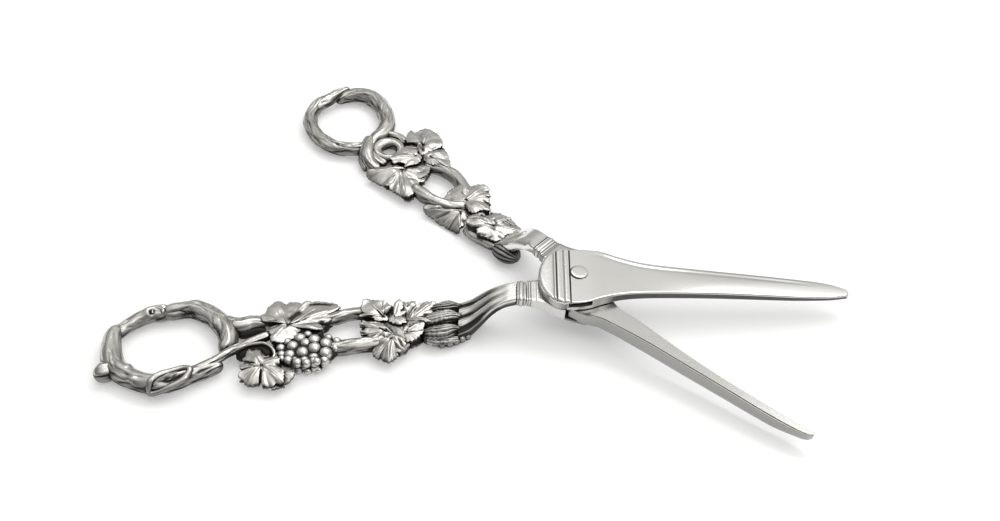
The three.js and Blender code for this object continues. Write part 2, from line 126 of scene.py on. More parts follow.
def ease(low, high, x):
    t = np.clip((x - low) / (high - low), 0, 1)
    return t * t * (3 - 2 * t)


def bump(offset, width):
    """A round swell, 1 at no offset."""
    return np.exp(-(offset / width) ** 2)


def apart(angle, other):
    """The turn between two directions, from none to half a turn."""
    return np.abs((angle - other + np.pi) % TURN - np.pi)


def xyz(x, y, z):
    """Points from three numbers or grids that fit each other."""
    return np.stack(np.broadcast_arrays(x, y, z), axis=-1)


def raised(flat, height):
    """A grid of x, y places with heights added."""
    return np.concatenate([flat, height[..., None]], axis=-1)


def on_floor(flat):
    """The places of a grid as rows x, y, 0."""
    return raised(flat, np.zeros(flat.shape[:-1])).reshape(-1, 3)


# Closed shells: points, faces, a grain coordinate that runs along the third axis, and darkening

class Shell:
    def __init__(self, points, faces, grain=None, dark=None):
        self.points = np.asarray(points, float)
        self.faces = faces
        self.grain = self.points * 0.5 if grain is None else np.asarray(grain, float)
        self.dark = np.zeros(len(self.points)) if dark is None else np.asarray(dark, float)

    def moved(self, move):
        return Shell(move(self.points), self.faces, self.grain, self.dark)

    def darkened(self, depth=0.9):
        """The same shell, darker all over; used as painted shade for the dark webs under leaves and stems, and
        for the core between the grapes.
        """
        return Shell(self.points, self.faces, self.grain, self.dark + depth)


def quads(rows, columns, wrap_rows=False, wrap_columns=False):
    r = np.arange(rows if wrap_rows else rows - 1)
    c = np.arange(columns if wrap_columns else columns - 1)
    i, j = [g.ravel() for g in np.meshgrid(r, c, indexing="ij")]
    i2, j2 = (i + 1) % rows, (j + 1) % columns
    corners = [i * columns + j, i * columns + j2, i2 * columns + j2, i2 * columns + j]
    return np.stack(corners, axis=1).tolist()


def loft(rings, grain=None, dark=None, looped=False):
    """Rows of closed outlines, shape (rows, points, 3), skinned and capped."""
    rows, count = rings.shape[:2]
    faces = quads(rows, count, wrap_rows=looped, wrap_columns=True)
    points = rings.reshape(-1, 3)
    grain = points * 0.5 if grain is None else grain.reshape(-1, 3)
    dark = np.zeros(rows * count) if dark is None else dark.reshape(-1)
    if not looped:
        for row in (0, rows - 1):
            edge = np.arange(count) + row * count
            points = np.vstack([points, points[edge].mean(axis=0)])
            grain = np.vstack([grain, grain[edge].mean(axis=0)])
            dark = np.append(dark, dark[edge].mean())
            hub = len(points) - 1
            faces += [[edge[k], edge[(k + 1) % count], hub] for k in range(count)]
    return Shell(points, faces, grain, dark)


# Branches

CHASED_WIDTH, CHASED_DEPTH, CHASED_TARNISH = 0.2, 0.16, 0.55


def branch(points, sides, step, seed, bark=0.05, twist=0.25, looped=False, knots=(), chased=0, scars=()):
    """Bark-covered branch. Rows are x, y, z, radius. A knot is share along, angle round, height, size.
    A scar is a rough hollow: share along, degrees round, half length, half width, depth, tarnish."""
    if looped:
        points = [*points[-3:], *points, *points[:4]]
    line = along(points, step)
    if looped:
        reach = lengths(np.array(points)[:, :3])
        share = np.linspace(0, 1, len(line)) * reach[-1]
        line = line[(share >= reach[3]) & (share < reach[-4] - step / 2)]
    centre, radius = line[:, :3], line[:, 3]
    if looped:
        way = unit(np.roll(centre, -1, axis=0) - np.roll(centre, 1, axis=0))
    else:
        way = unit(np.gradient(centre, axis=0))
    side = unit(np.cross(way, UP))
    rise = np.cross(side, way)
    reach = lengths(centre)
    if not looped:
        near = np.minimum(reach, reach[-1] - reach)
        radius = radius * np.sqrt(1 - (1 - np.clip(near / radius, 0.01, 1)) ** 2)
    s, p = np.meshgrid(reach, np.linspace(0, TURN, sides, endpoint=False), indexing="ij")
    girth = radius[:, None]
    ring = xyz(np.cos(p) * 2, np.sin(p) * 2, s * 0.5).reshape(-1, 3)
    wander = ripple(ring, 2.2, seed).reshape(s.shape)
    grooves = 0.55 * np.sin(5 * p + twist * s + 1.6 * wander)
    grooves = grooves + 0.3 * np.sin(9 * p - 1.3 * twist * s + 2 * wander)
    swell = 1 + bark * (grooves + 0.9 * wander)
    for share, angle, height, size in knots:
        away = np.hypot(apart(p, angle) * girth, s - share * reach[-1])
        swell += height / np.mean(radius) * bump(away, size)
    rng = np.random.default_rng(seed + 900)
    cut = np.zeros(s.shape)
    for _ in range(chased):
        start, length = rng.uniform(-3, reach[-1]), rng.uniform(5, 13)
        course = rng.uniform(0, TURN) + rng.uniform(-0.05, 0.05) * (s - start)
        course = course + 0.25 * np.sin(0.5 * s + rng.uniform(0, 6))
        window = ease(start, start + 2, s) * (1 - ease(start + length - 2, start + length, s))
        cut = np.maximum(cut, bump(apart(p, course) * girth, CHASED_WIDTH) * window)
    shade = CHASED_TARNISH * cut
    r = girth * swell - CHASED_DEPTH * cut
    for share, angle, half_long, half_wide, depth, tarnish in scars:
        aside = apart(p, math.radians(angle)) * girth
        inside = np.exp(-(((s - share * reach[-1]) / half_long) ** 2 + (aside / half_wide) ** 2) ** 2)
        rough = ripple(ring * 3, 1.0, seed + 70).reshape(s.shape)
        r = r - depth * inside * (1 + 0.5 * rough)
        shade = shade + tarnish * inside * (0.75 + 0.5 * rough)
    rings = centre[:, None] + side[:, None] * (r * np.cos(p))[..., None]
    rings = rings + rise[:, None] * (r * np.sin(p))[..., None]
    rings[..., 2] = np.maximum(rings[..., 2], 0)
    return loft(rings, xyz(np.cos(p) * 1.15, np.sin(p) * 1.15, s * 0.1 + seed), shade, looped=looped)


def laid_on(points, marks, lift, thick):
    """Places on a branch's skin, each given as share along and degrees round from the outer side."""
    line = along(points, 0.2)
    way = unit(np.gradient(line[:, :3], axis=0))
    rows = []
    for share, angle in marks:
        k = int(share * (len(line) - 1))
        side = np.cross(way[k], UP)
        a = math.radians(angle)
        out = side * math.cos(a) + np.cross(side, way[k]) * math.sin(a)
        rows.append((*(line[k, :3] + (line[k, 3] + lift) * out), thick))
    return rows


# Pods and leaves: cast sheets with the same relief on both faces

POD_ROWS, POD_COLUMNS = 34, 33
POD_RIBS, POD_TEETH = 5, 9
POD_UNDER = 0.8  # depth below the middle plane, as a share of the height above it
POD_RIM = ((0.3, 0.0), (0.6, 0.06), (0.7, 0.22))  # how far the rim falls, and is drawn in


def pod(base, tip, half, lift, seed):
    """One ribbed pod from base to tip. lift is its height over the middle plane at base, crown and tip."""
    rng = np.random.default_rng(seed)
    base, tip = np.array(base, float), np.array(tip, float)
    length = np.linalg.norm(tip - base)
    way = (tip - base) / length
    across = np.array([-way[1], way[0]])
    u, v = np.meshgrid(np.linspace(0, 1, POD_ROWS) ** 0.9, np.linspace(-1, 1, POD_COLUMNS), indexing="ij")
    blunt = np.sqrt(np.clip(1 - (np.clip(u - 0.48, 0, 1) / 0.52) ** 2.3, 0, 1))
    saw = (u * POD_TEETH + rng.uniform() + 0.3 * np.sign(v)) % 1
    width = half * ((0.5 + 0.5 * ease(0.0, 0.45, u)) * blunt) * (1 - 0.17 * saw * ease(0.2, 0.5, u)) + 0.02
    sway = rng.uniform(-0.1, 0.1) * length * np.sin(np.pi * u)
    crown = lift[0] + (lift[2] - lift[0]) * u
    crown = crown + (lift[1] - (lift[0] + lift[2]) / 2) * np.sin(np.pi * u ** 0.9)
    body = ease(0.02, 0.25, u) * (1 - 0.5 * ease(0.8, 1, u))
    bend = ripple(xyz(u * 5, v * 1.5, seed).reshape(-1, 3), 2.6, seed + 60).reshape(u.shape)
    furrow = np.abs(np.sin(np.pi * (POD_RIBS * (v + 1) / 2 + 0.45 * bend + 0.7 * u)))
    relief = (0.34 + 0.14 * bend) * furrow ** 0.6 * body
    relief -= 0.55 * half * np.abs(v) ** 2.2
    relief += rng.uniform(-0.2, 0.2) * v * body
    flat = base + way * (u * length)[..., None] + across * (v * width + sway)[..., None]
    uneven = 0.24 * ripple(on_floor(flat), 2.6, seed + 50) + 0.09 * ripple(on_floor(flat), 1.1, seed + 51)
    height = np.maximum(crown + (relief + uneven.reshape(u.shape) * body), 0.25)
    top = raised(flat, MID + height)
    low = raised(flat, np.maximum(MID - height * POD_UNDER, LOWEST))
    rows, columns = u.shape
    edge = [(0, c) for c in range(columns)] + [(r, columns - 1) for r in range(1, rows)]
    edge += [(rows - 1, c) for c in range(columns - 2, -1, -1)] + [(r, 0) for r in range(rows - 2, 0, -1)]
    er, ec = np.array(edge).T
    middle = raised(base + way * (u * length * 0.93)[..., None], np.zeros(u.shape))
    upper, lower = [], []
    for drop, inset in POD_RIM:
        for face, sign, strips in ((top, -1, upper), (low, 1, lower)):
            border = face[er, ec]
            strip = border + (middle[er, ec] - border) * [inset, inset, 0]
            strip[:, 2] = border[:, 2] + sign * np.minimum(drop, np.abs(border[:, 2] - MID) * 0.92)
            strips.append(strip)
    count, size = len(edge), rows * columns
    points = np.vstack([top.reshape(-1, 3), low.reshape(-1, 3), *upper, *lower[::-1]])
    faces = quads(rows, columns)
    faces += [[f[0] + size, f[3] + size, f[2] + size, f[1] + size] for f in quads(rows, columns)]
    bands = [2 * size + k * count + np.arange(count) for k in range(6)]
    starts = [er * columns + ec, *bands, size + er * columns + ec]
    for a, b in zip(starts, starts[1:]):
        faces += [[a[k], b[k], b[(k + 1) % count], a[(k + 1) % count]] for k in range(count)]
    grain = xyz(v * 3.2 * (1 + POD_RIBS), seed * 1.7, u * 0.9)
    grain_face, grain_edge = grain.reshape(-1, 3), grain[er, ec]
    dark = np.zeros(len(points))
    dark[:2 * size] = np.tile((0.1 + 0.2 * bend + 0.6 * (1 - furrow) ** 1.5).ravel(), 2)
    # Painted shade on the pod's side walls.
    dark[2 * size + count:-count] = 0.3
    return Shell(points, faces, np.vstack([grain_face, grain_face + 9, *[grain_edge + 2] * 6]), dark)


SHEET_POINTS, SHEET_RINGS = 208, 18
VEIN_APART = 0.6  # least turn between two veins
INNER_SIDE = -1.3  # a rim beyond this Y lies beside the other handle, and isn't widened
TOOTH_WIDTH, TOOTH_DEPTH, TOOTH_MEAN = 1.2, 0.3, 0.13
LEAF_THICK = 0.6
LEAF_RIM = ((0.1, -0.05, 0.08), (0.5, 0.0, 0.3), (0.56, 0.4, 0.95))  # fall, drawn in, painted shade under the leaf's edge


def rim(height, steps, droop=(0, ())):
    """Outline rows x, y, height. Steps lead from corner to corner in tenths of a millimetre, the first from
    the pivot. A droop is the first corner that hangs lower, and the heights from there on."""
    corners = np.cumsum(np.reshape(steps, (-1, 2)), axis=0) / 10
    heights = np.full(len(corners), float(height))
    first, lower = droop
    heights[(first + np.arange(len(lower))) % len(corners)] = lower
    return raised(corners, heights)


def leaf_veins(line, hub, count):
    """Corners of an outline that carry a vein, and the notches between them."""
    arms = line[:, :2] - hub
    far, angle = np.hypot(*arms.T), np.arctan2(arms[:, 1], arms[:, 0])
    tips = []
    for i in np.argsort(-far):
        nearest = min([apart(angle[i], angle[j]) for j in tips], default=TURN)
        if far[i] > 0.42 * far.max() and len(tips) < count and nearest > VEIN_APART:
            tips.append(i)
    tips.sort()
    notches = []
    for i, j in zip(tips, [*tips[1:], tips[0] + len(line)]):
        between = np.arange(i + 1, j) % len(line)
        if len(between):
            notches.append(between[np.argmin(far[between])])
    return tips, notches


def sheet(hub, line, heights, seed, veins, under=0.9, tone=0.0, creases=()):
    """A thin folded leaf blade inside a rim. heights are those of the hub and of the swell between hub and rim
    over the middle plane, and a crease is x, y, x, y, width, depth and painted shade."""
    rng = np.random.default_rng(seed + 400)
    hub = np.array(hub, float)
    closed = np.vstack([line, line[:1]])
    reach = np.r_[0, np.cumsum(np.hypot(*np.diff(closed[:, :2], axis=0).T))]
    k = np.linspace(0, reach[-1], SHEET_POINTS, endpoint=False)
    edge, edge_y, edge_height = [np.interp(k, reach, column) for column in closed.T]
    edge = np.stack([edge, edge_y], axis=1)
    out = edge - hub
    far = np.maximum(np.hypot(*out.T), 0.8)
    saw = (k / TOOTH_WIDTH + 0.3 * np.sin(k * 0.9 + seed)) % 1
    outward = out / np.maximum(far, 1.6)[:, None]
    edge = edge + outward * (0.32 * (edge_y < INNER_SIDE) - TOOTH_MEAN)[:, None]
    teeth = outward * (TOOTH_MEAN - TOOTH_DEPTH * np.abs(2 * saw - 1) ** 1.5)[:, None]
    tips, notches = leaf_veins(line, hub, veins)
    marks = np.r_[reach[tips], reach[notches]]
    signs = np.r_[np.ones(len(tips)), -np.ones(len(notches))]
    order = np.argsort(marks)
    fold = np.interp(k, marks[order], signs[order], period=reach[-1])
    s = (np.linspace(0.02, 1, SHEET_RINGS) ** 0.85)[:, None]
    flat = hub + (edge - hub)[None] * s[..., None] + teeth[None] * s[..., None] ** 7
    floor = on_floor(flat)
    lean = rng.uniform(-0.06, 0.06, 2)
    even = np.mean([np.roll(edge_height, shift) for shift in np.arange(-24, 25)], axis=0)
    height = heights[0] + (even - heights[0]) * s ** 1.5 + (edge_height - even) * s ** 6
    height = height + heights[1] * np.sin(np.pi * s ** 0.8)
    height = height + 0.24 * s * fold + (flat - line[:, :2].mean(axis=0)) @ lean
    uneven = sum(size * ripple(floor, wide, seed + 50 + n)
                 for n, (size, wide) in enumerate(((0.26, 4.2), (0.1, 1.9), (0.03, 0.9))))
    height += uneven.reshape(height.shape) * ease(0.05, 0.3, s)
    dark = np.full(height.shape, tone)
    off = flat - hub
    for tip in tips:
        way = line[tip, :2] - hub
        length = np.hypot(*way)
        way = way / length
        ahead = off @ way
        aside = np.abs(off[..., 0] * way[1] - off[..., 1] * way[0])
        part = ease(0.3, 1.0, ahead) * (1 - ease(0.65 * length, 0.92 * length, ahead))
        height += part * (0.06 * bump(aside - 0.4, 0.25) - 0.1 * bump(aside, 0.16))
        dark = np.maximum(dark, tone + 0.3 * part * bump(aside, 0.14))
    dark += 0.1 * (1 - ease(0.0, 0.3, s)) + 0.14 * np.clip(-fold, 0, 1) ** 3 * ease(0.3, 1.0, s)
    # Creases: grooves with painted shade laid along and around them.
    for x0, y0, x1, y1, wide, depth, tarnish in creases:
        start, way = np.array([x0, y0]), np.array([x1 - x0, y1 - y0])
        share = np.clip((flat - start) @ way / max(way @ way, 1e-6), 0, 1)
        away = np.linalg.norm(flat - start - share[..., None] * way, axis=-1)
        groove = bump(away, max(wide, 0.14))
        height = height - depth * groove
        dark = dark + tarnish * groove
    top_z = np.maximum(MID + height, 0.5)
    low_z = np.maximum(np.minimum(MID - height * under, top_z - LEAF_THICK), LOWEST)
    top, low = raised(flat, top_z), raised(flat, low_z)
    rows, shade = [top], [dark]
    inward = (hub - edge) / far[:, None]
    room = (top_z[-1] - low_z[-1]) / 2
    for face, sign, course in ((top, -1, LEAF_RIM), (low, 1, LEAF_RIM[::-1])):
        for drop, inset, shadow in course:
            strip = face[-1].copy()
            strip[:, :2] += inward * np.minimum(inset, 0.3 * far)[:, None]
            strip[:, 2] += sign * np.minimum(drop, room * 0.92)
            rows.append(strip[None])
            shade.append(np.full((1, SHEET_POINTS), shadow))
    rings = np.concatenate([*rows, low[::-1]])
    share = np.r_[s[:, 0], np.ones(2 * len(LEAF_RIM)), s[::-1, 0]][:, None]
    angle = np.arctan2(out[:, 1], out[:, 0])
    grain = xyz(np.cos(angle) * 4, np.sin(angle) * 4, share * 1.8 + seed)
    return loft(rings, grain, np.concatenate([*shade, dark[::-1]]))


def backing(centre, radii, rise, seed):
    """A low body that joins the leaves of a cluster, darkened as painted shade beneath them."""
    a = np.linspace(0, TURN, 25)[:-1]
    outline = [(centre[0] + radii[0] * np.cos(t), centre[1] + radii[1] * np.sin(t), rise - 0.4) for t in a]
    return sheet(centre, np.array(outline), (rise, 0.1), seed, veins=1, tone=0.4)


# Node trees

def add_node(tree, kind, settings=None, sockets=None):
    """One node: its settings first, then the values or links of its sockets."""
    node = tree.nodes.new(kind)
    for key, value in (settings or {}).items():
        setattr(node, key, value)
    for key, value in (sockets or {}).items():
        if isinstance(value, Value):
            tree.links.new(value.socket, node.inputs[key])
        elif isinstance(value, bpy.types.NodeSocket):
            tree.links.new(value, node.inputs[key])
        else:
            node.inputs[key].default_value = value
    return node


class Value:
    """A shader socket that takes part in Python arithmetic."""

    def __init__(self, tree, socket):
        self.tree, self.socket = tree, socket

    def _math(self, operation, first, second, clamp=False):
        settings = {"operation": operation, "use_clamp": clamp}
        node = add_node(self.tree, "ShaderNodeMath", settings, {0: first, 1: second})
        return Value(self.tree, node.outputs[0])

    def __add__(self, other):
        return self._math("ADD", self, other)

    def __radd__(self, other):
        return self._math("ADD", other, self)

    def __sub__(self, other):
        return self._math("SUBTRACT", self, other)

    def __rsub__(self, other):
        return self._math("SUBTRACT", other, self)

    def __mul__(self, other):
        return self._math("MULTIPLY", self, other)

    def __rmul__(self, other):
        return self._math("MULTIPLY", other, self)

    def clamped(self):
        return self._math("ADD", self, 0.0, clamp=True)


def berry_tree():
    """Sets a round berry on every point, sized by the point's own girth."""
    tree = bpy.data.node_groups.new("berries", "GeometryNodeTree")
    sockets = {"Geometry": "Geometry", "Radius": "Float", "Facets": "Int", "Unevenness": "Float", "Seed": "Int",
               "Finish": "Material"}
    for label, kind in sockets.items():
        tree.interface.new_socket(label, in_out="INPUT", socket_type="NodeSocket" + kind)
    tree.interface.new_socket("Geometry", in_out="OUTPUT", socket_type="NodeSocketGeometry")
    given = add_node(tree, "NodeGroupInput").outputs

    def maths(operation, first, second):
        return add_node(tree, "ShaderNodeMath", {"operation": operation}, {0: first, 1: second}).outputs[0]

    ball = add_node(tree, "GeometryNodeMeshIcoSphere", None,
                    {"Radius": given["Radius"], "Subdivisions": given["Facets"]})
    girth = add_node(tree, "GeometryNodeInputNamedAttribute", {"data_type": "FLOAT"}, {"Name": "girth"})
    least, most = [maths(operation, 1.0, given["Unevenness"]) for operation in ("SUBTRACT", "ADD")]
    vary = add_node(tree, "FunctionNodeRandomValue", {"data_type": "FLOAT"},
                    {2: least, 3: most, "Seed": given["Seed"]})
    size = maths("MULTIPLY", girth.outputs["Attribute"], vary.outputs[1])
    put = add_node(tree, "GeometryNodeInstanceOnPoints", None,
                   {"Points": given["Geometry"], "Instance": ball.outputs["Mesh"], "Scale": size})
    real = add_node(tree, "GeometryNodeRealizeInstances", None, {"Geometry": put.outputs["Instances"]})
    done = add_node(tree, "GeometryNodeSetMaterial", None,
                    {"Geometry": real.outputs["Geometry"], "Material": given["Finish"]})
    add_node(tree, "NodeGroupOutput", None, {"Geometry": done.outputs["Geometry"]})
    return tree


def read(rows, key):
    """What a mesh stores under a name, as rows of three numbers."""
    values = np.zeros(len(rows) * 3)
    rows.foreach_get(key, values)
    return values.reshape(-1, 3)


def new_object(name, data):
    made = bpy.data.objects.new(name, data)
    bpy.context.scene.collection.objects.link(made)
    return made


def berries(tree, centres, girths, unevenness, seed):
    """The plain mesh that the berry tree makes on the given centres."""
    data = bpy.data.meshes.new("berry points")
    data.from_pydata([tuple(c) for c in centres], [], [])
    data.attributes.new("girth", "FLOAT", "POINT").data.foreach_set("value", np.asarray(girths, np.float32))
    carrier = new_object("carrier", data)
    modifier = carrier.modifiers.new("grow", "NODES")
    modifier.node_group = tree
    inputs = {item.name: item.identifier for item in tree.interface.items_tree if item.in_out == "INPUT"}
    settings = {"Radius": 1.0, "Facets": 3, "Unevenness": unevenness, "Seed": seed, "Finish": CAST}
    for name, value in settings.items():
        modifier[inputs[name]] = value
    evaluated = carrier.evaluated_get(bpy.context.evaluated_depsgraph_get())
    mesh = bpy.data.meshes.new_from_object(evaluated)
    shell = Shell(read(mesh.vertices, "co"), [list(p.vertices) for p in mesh.polygons])
    bpy.data.objects.remove(carrier)
    bpy.data.meshes.remove(mesh)
    return shell


# Finishes

def fresh_tree(owner):
    owner.use_nodes = True
    owner.node_tree.nodes.clear()
    return owner.node_tree


def silver(name, bright, tarnish, gloss, streak_depth, tarnish_and_shade_gain, dirt_spread):
    """Silver darkened by a per-point attribute that holds tarnish in its hollows together with painted shade,
    and by mottled tarnish, with fine lines along the grain of each piece.
    """
    material = bpy.data.materials.new(name)
    tree = fresh_tree(material)

    def value(node, key):
        return Value(tree, node.outputs[key])

    hollow = value(add_node(tree, "ShaderNodeAttribute", {"attribute_name": "hollow"}), "Fac")
    grain = add_node(tree, "ShaderNodeAttribute", {"attribute_name": "grain"}).outputs["Vector"]
    place = add_node(tree, "ShaderNodeTexCoord").outputs["Object"]

    def noise(vector, scale, detail):
        sockets = {"Vector": vector, "Scale": scale, "Detail": detail, "Roughness": 0.6}
        return value(add_node(tree, "ShaderNodeTexNoise", None, sockets), "Fac")

    lines = noise(grain, 2.6, 3.0)
    clouds = noise(place, 210.0, 2.0)
    grit = noise(place, 2600.0, 2.0)
    streaks = ((lines - 0.5) * 3.2).clamped()
    # Darkening: tarnish in hollows and painted shade from the attribute, plus mottled tarnish from the clouds
    # and streaks.
    mottled_tarnish_and_shade = (hollow * tarnish_and_shade_gain + (clouds - 0.5) * dirt_spread * 0.6 + streaks * dirt_spread).clamped()
    colours = {0: mottled_tarnish_and_shade, 6: (*bright, 1), 7: (*tarnish, 1)}
    blend = add_node(tree, "ShaderNodeMix", {"data_type": "RGBA"}, colours)
    height = lines * streak_depth + grit * 0.16
    rough = add_node(tree, "ShaderNodeBump", None, {"Strength": 0.5, "Distance": 0.00012, "Height": height})
    shader = add_node(tree, "ShaderNodeBsdfPrincipled", None, {
        "Base Color": blend.outputs[2],
        "Metallic": 1 - mottled_tarnish_and_shade * 0.45,
        "Roughness": gloss + mottled_tarnish_and_shade * 0.3 + (lines - 0.5) * 0.14 + (grit - 0.5) * 0.06,
        "Normal": rough.outputs["Normal"],
    })
    add_node(tree, "ShaderNodeOutputMaterial", None, {"Surface": shader.outputs[0]})
    return material


CAST = silver("cast silver", (0.56, 0.546, 0.514), (0.018, 0.016, 0.014), 0.2, 0.9, 1.5, 0.5)
POLISHED = silver("polished silver", (0.65, 0.643, 0.62), (0.03, 0.028, 0.025), 0.15, 0.1, 1.15, 0.06)
# A lighter, cleaner copy of cast silver for the necks and grapes: painted light that makes their highlights
# brighter.
LIT_CAST = silver("bright cast silver", (0.79, 0.775, 0.739), (0.02, 0.018, 0.016), 0.17, 0.4, 1.25, 0.2)
LEAF = silver("leaf silver", (0.56, 0.546, 0.515), (0.018, 0.016, 0.014), 0.28, 0.4, 1.4, 0.32)
SATIN = silver("satin silver", (0.41, 0.406, 0.388), (0.04, 0.036, 0.032), 0.24, 0.14, 1.1, 0.05)
SIDE_SHADE_AND_WEAR = {CAST: 0.68, LEAF: 0.68, LIT_CAST: 0.3}  # painted shade on the steep sides of cast pieces, together with wear that leaves their tops and bottoms rubbed brighter

pieces = []


def piece(node, lever, shells, material, sharp=None):
    """One finished piece that stands for its node, from closed shells in the lever frame."""
    points, faces = [], []
    start = 0
    for shell in shells:
        placed = lever.place(shell.points)
        outward = signed_volume(placed, shell.faces) > 0
        for face in shell.faces:
            corners = [start + k for k in face]
            faces.append(corners if outward else corners[::-1])
        points.append(placed)
        start += len(placed)
    mesh = bpy.data.meshes.new(node)
    mesh.from_pydata(np.vstack(points).tolist(), [], faces)
    mesh.polygons.foreach_set("use_smooth", [True] * len(mesh.polygons))
    if sharp:
        mesh.set_sharp_from_angle(angle=math.radians(sharp))
    grain = np.vstack([shell.grain for shell in shells])
    dark = np.concatenate([shell.dark for shell in shells])
    mesh.attributes.new("grain", "FLOAT_VECTOR", "POINT").data.foreach_set("vector", grain.ravel())
    mesh.attributes.new("hollow", "FLOAT", "POINT").data.foreach_set("value", dark)
    mesh.materials.append(material)
    mesh.update()
    # Painted shade: steep sides darker than tops and bottoms, also standing for wear that rubs tops and bottoms
    # bright.
    if material in SIDE_SHADE_AND_WEAR:
        side_shade_and_wear = SIDE_SHADE_AND_WEAR[material] * (1 - np.abs(read(mesh.vertex_normals, "vector")[:, 2])) ** 1.2
        mesh.attributes["hollow"].data.foreach_set("value", dark + side_shade_and_wear)
    made = new_object(node + "_cast", mesh)
    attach(made, lever.body)
    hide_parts(node)
    "cast_silver" if material in SIDE_SHADE_AND_WEAR else "polished_silver"
    pieces.append((made, lever))


def signed_volume(points, faces):
    fans = [(f[0], f[k], f[k + 1]) for f in faces for k in range(1, len(f) - 1)]
    a, b, c = [points[list(column)] - points[0] for column in zip(*fans)]
    return float(np.einsum("ij,ij->i", a, np.cross(b, c)).sum()) / 6


# Handles

def husk_shells(pods):
    return [pod(base, tip, half, lift, 300 + k) for k, (base, tip, half, lift) in enumerate(pods)]


def rounding(edge, radius):
    """How far a rounded edge falls away at a distance from the edge."""
    return radius - np.sqrt(np.clip(radius ** 2 - np.clip(radius - edge, 0, radius) ** 2, 0, None))


NECK_START, NECK_END = -29.2, -15.2
NECK_EDGE = 0.7  # radius of the neck's upper edges


def neck_shells(reeds, soft, slim):
    """S-shaped neck: depth of its reeds, radius of its inner edge, and whether its foot is slim."""
    stations = [
        (NECK_END, -7.4, -1.2, 11.3), (-18.3, -8.1, -1.5, 10.8), (-21.1, -9.0, -1.7, 9.6),
        (-23.6, -10.0, -1.6, 7.7), (-26.4, -11.2 + 1.8 * slim, -1.8, 5.7 - 0.2 * slim),
        (NECK_START, -12.4 + 3.6 * slim, -2.2, 4.8 - 0.6 * slim),
    ]
    outer, inner, top = [smooth([(s[0], s[k]) for s in stations]) for k in (1, 2, 3)]
    under = smooth([(NECK_END, 8.7), (-18.3, 8.2), (-20.4, 7.0), (-21.8, 5.6), (-23.0, 4.0), (-24.2, 2.5),
                    (-25.6, 1.1), (-26.8, 0.2), (NECK_START, 0.0)])
    xs = np.linspace(NECK_START, NECK_END, 90)
    w = np.linspace(0, 1, 81)
    # Painted shade on the neck's side walls, darker towards the bottom, and lighter where the foot is slim.
    wall = np.array([0.1, 0.45, 0.62, 0.75, 0.8])
    rings, dark = [], []
    for x in xs:
        depth = reeds * (1 - ease(-23.0, -17.0, x)) ** 0.9
        low = max(float(under(x)), 0.0)
        wide = inner(x) - outer(x)
        inner_round = NECK_EDGE + (soft - NECK_EDGE) * (1 - ease(-18.5, -16, x))
        drop = np.maximum(rounding(w * wide, NECK_EDGE), rounding((1 - w) * wide, inner_round))
        wave = 0.5 + 0.5 * np.cos(TURN * (2.7 * (w + 0.06 * np.sin((x + 29) * 0.3)) + 0.12))
        wave = wave ** 0.7 - 0.12 * np.abs(np.sin(TURN * 5.4 * w)) ** 3
        z = top(x) - drop + depth * (wave - 0.8)
        ring = [xyz(x, outer(x) + (inner(x) - outer(x)) * w, z)]
        round_in = 0.5 + 1.6 * float(ease(-20, -25, x))
        sides = [(0.12, 0.0), (0.2, 0.12), (0.5, 0.25), (0.85, 0.35 * round_in), (1.0, round_in)]
        ring += [[[x, inner(x) - inset, z[-1] - share * (z[-1] - low)]] for share, inset in sides]
        ring += [[[x, outer(x) + inset, z[0] - share * (z[0] - low)]] for share, inset in sides[::-1]]
        rings.append(np.vstack(ring))
        # Painted shade: the outer wall darker towards the foot, and a dark strip along the outer edge near the
        # foot.
        near_wall = np.array([0.95, 0.9, 0.8, 0.6, 0.25]) * ease(-16.5, -20, x)
        flutes = 1.2 * depth * np.clip(1 - wave, 0, 1) ** 1.7
        flutes += (reeds > 0) * (1 - ease(0.1, 0.2, w)) * ease(-22.0, -25.5, x)
        dark.append(np.r_[flutes, wall - 0.35 * slim, np.maximum(near_wall, wall[::-1])])
    rings = np.array(rings)
    phi = np.linspace(0, TURN, rings.shape[1])
    return [loft(rings, xyz(np.cos(phi) * 2, np.sin(phi) * 2, xs[:, None] * 0.08), np.array(dark))]


def fluted_lump(centre, radii, flutes):
    """Rounded scroll end with flutes that run from pole to pole along X."""
    a = np.linspace(0.05, np.pi - 0.05, 40)
    s, p = np.meshgrid(a, np.linspace(0, TURN, 72, endpoint=False), indexing="ij")
    wave = np.abs(np.sin(p * flutes / 2)) ** 0.7
    r = np.sin(s) * (0.84 + 0.16 * wave)
    rings = xyz(centre[0] + radii[0] * np.cos(s), centre[1] + radii[1] * r * np.cos(p),
                np.maximum(centre[2] + radii[2] * r * np.sin(p), 0))
    # Painted shade: the lump is darkened all over, more in its flutes, as it lies under the neck and among the
    # grapes.
    return loft(rings, None, 0.55 + 0.45 * (1 - wave))


COLLAR_START, COLLAR_LENGTH = -15.05, 2.35
COLLAR_REEDS = ((0.0, 0.22, 0.55), (0.2, 0.52, 1.0), (0.7, 0.3, 0.55))  # start and length as shares, height


def collar_shells():
    a = np.linspace(0, TURN, 48, endpoint=False)
    across, upward = [np.sign(v) * np.abs(v) ** 0.35 for v in (np.cos(a), np.sin(a))]
    rings, dark = [], []
    for x in np.linspace(COLLAR_START, -12.7, 50):
        share = (x - COLLAR_START) / COLLAR_LENGTH
        reed = max(np.sin(np.pi * np.clip((share - start) / long, 0, 1)) * high
                   for start, long, high in COLLAR_REEDS)
        inset = 0.42 * (1 - reed ** 0.55)
        y = -4.25 + (3.4 - inset) * across
        t = -1.3 + (1.55 - inset) * upward
        rings.append(xyz(x, y, t))
        # Grooves between the reeds hold tarnish; the collar's sides are darkened as painted shade.
        dark.append(0.15 * (1 - reed) ** 2 + 0.25 * (np.abs(np.sin(a)) < 0.6))
    return [loft(np.array(rings), None, np.array(dark)).moved(tilted)]


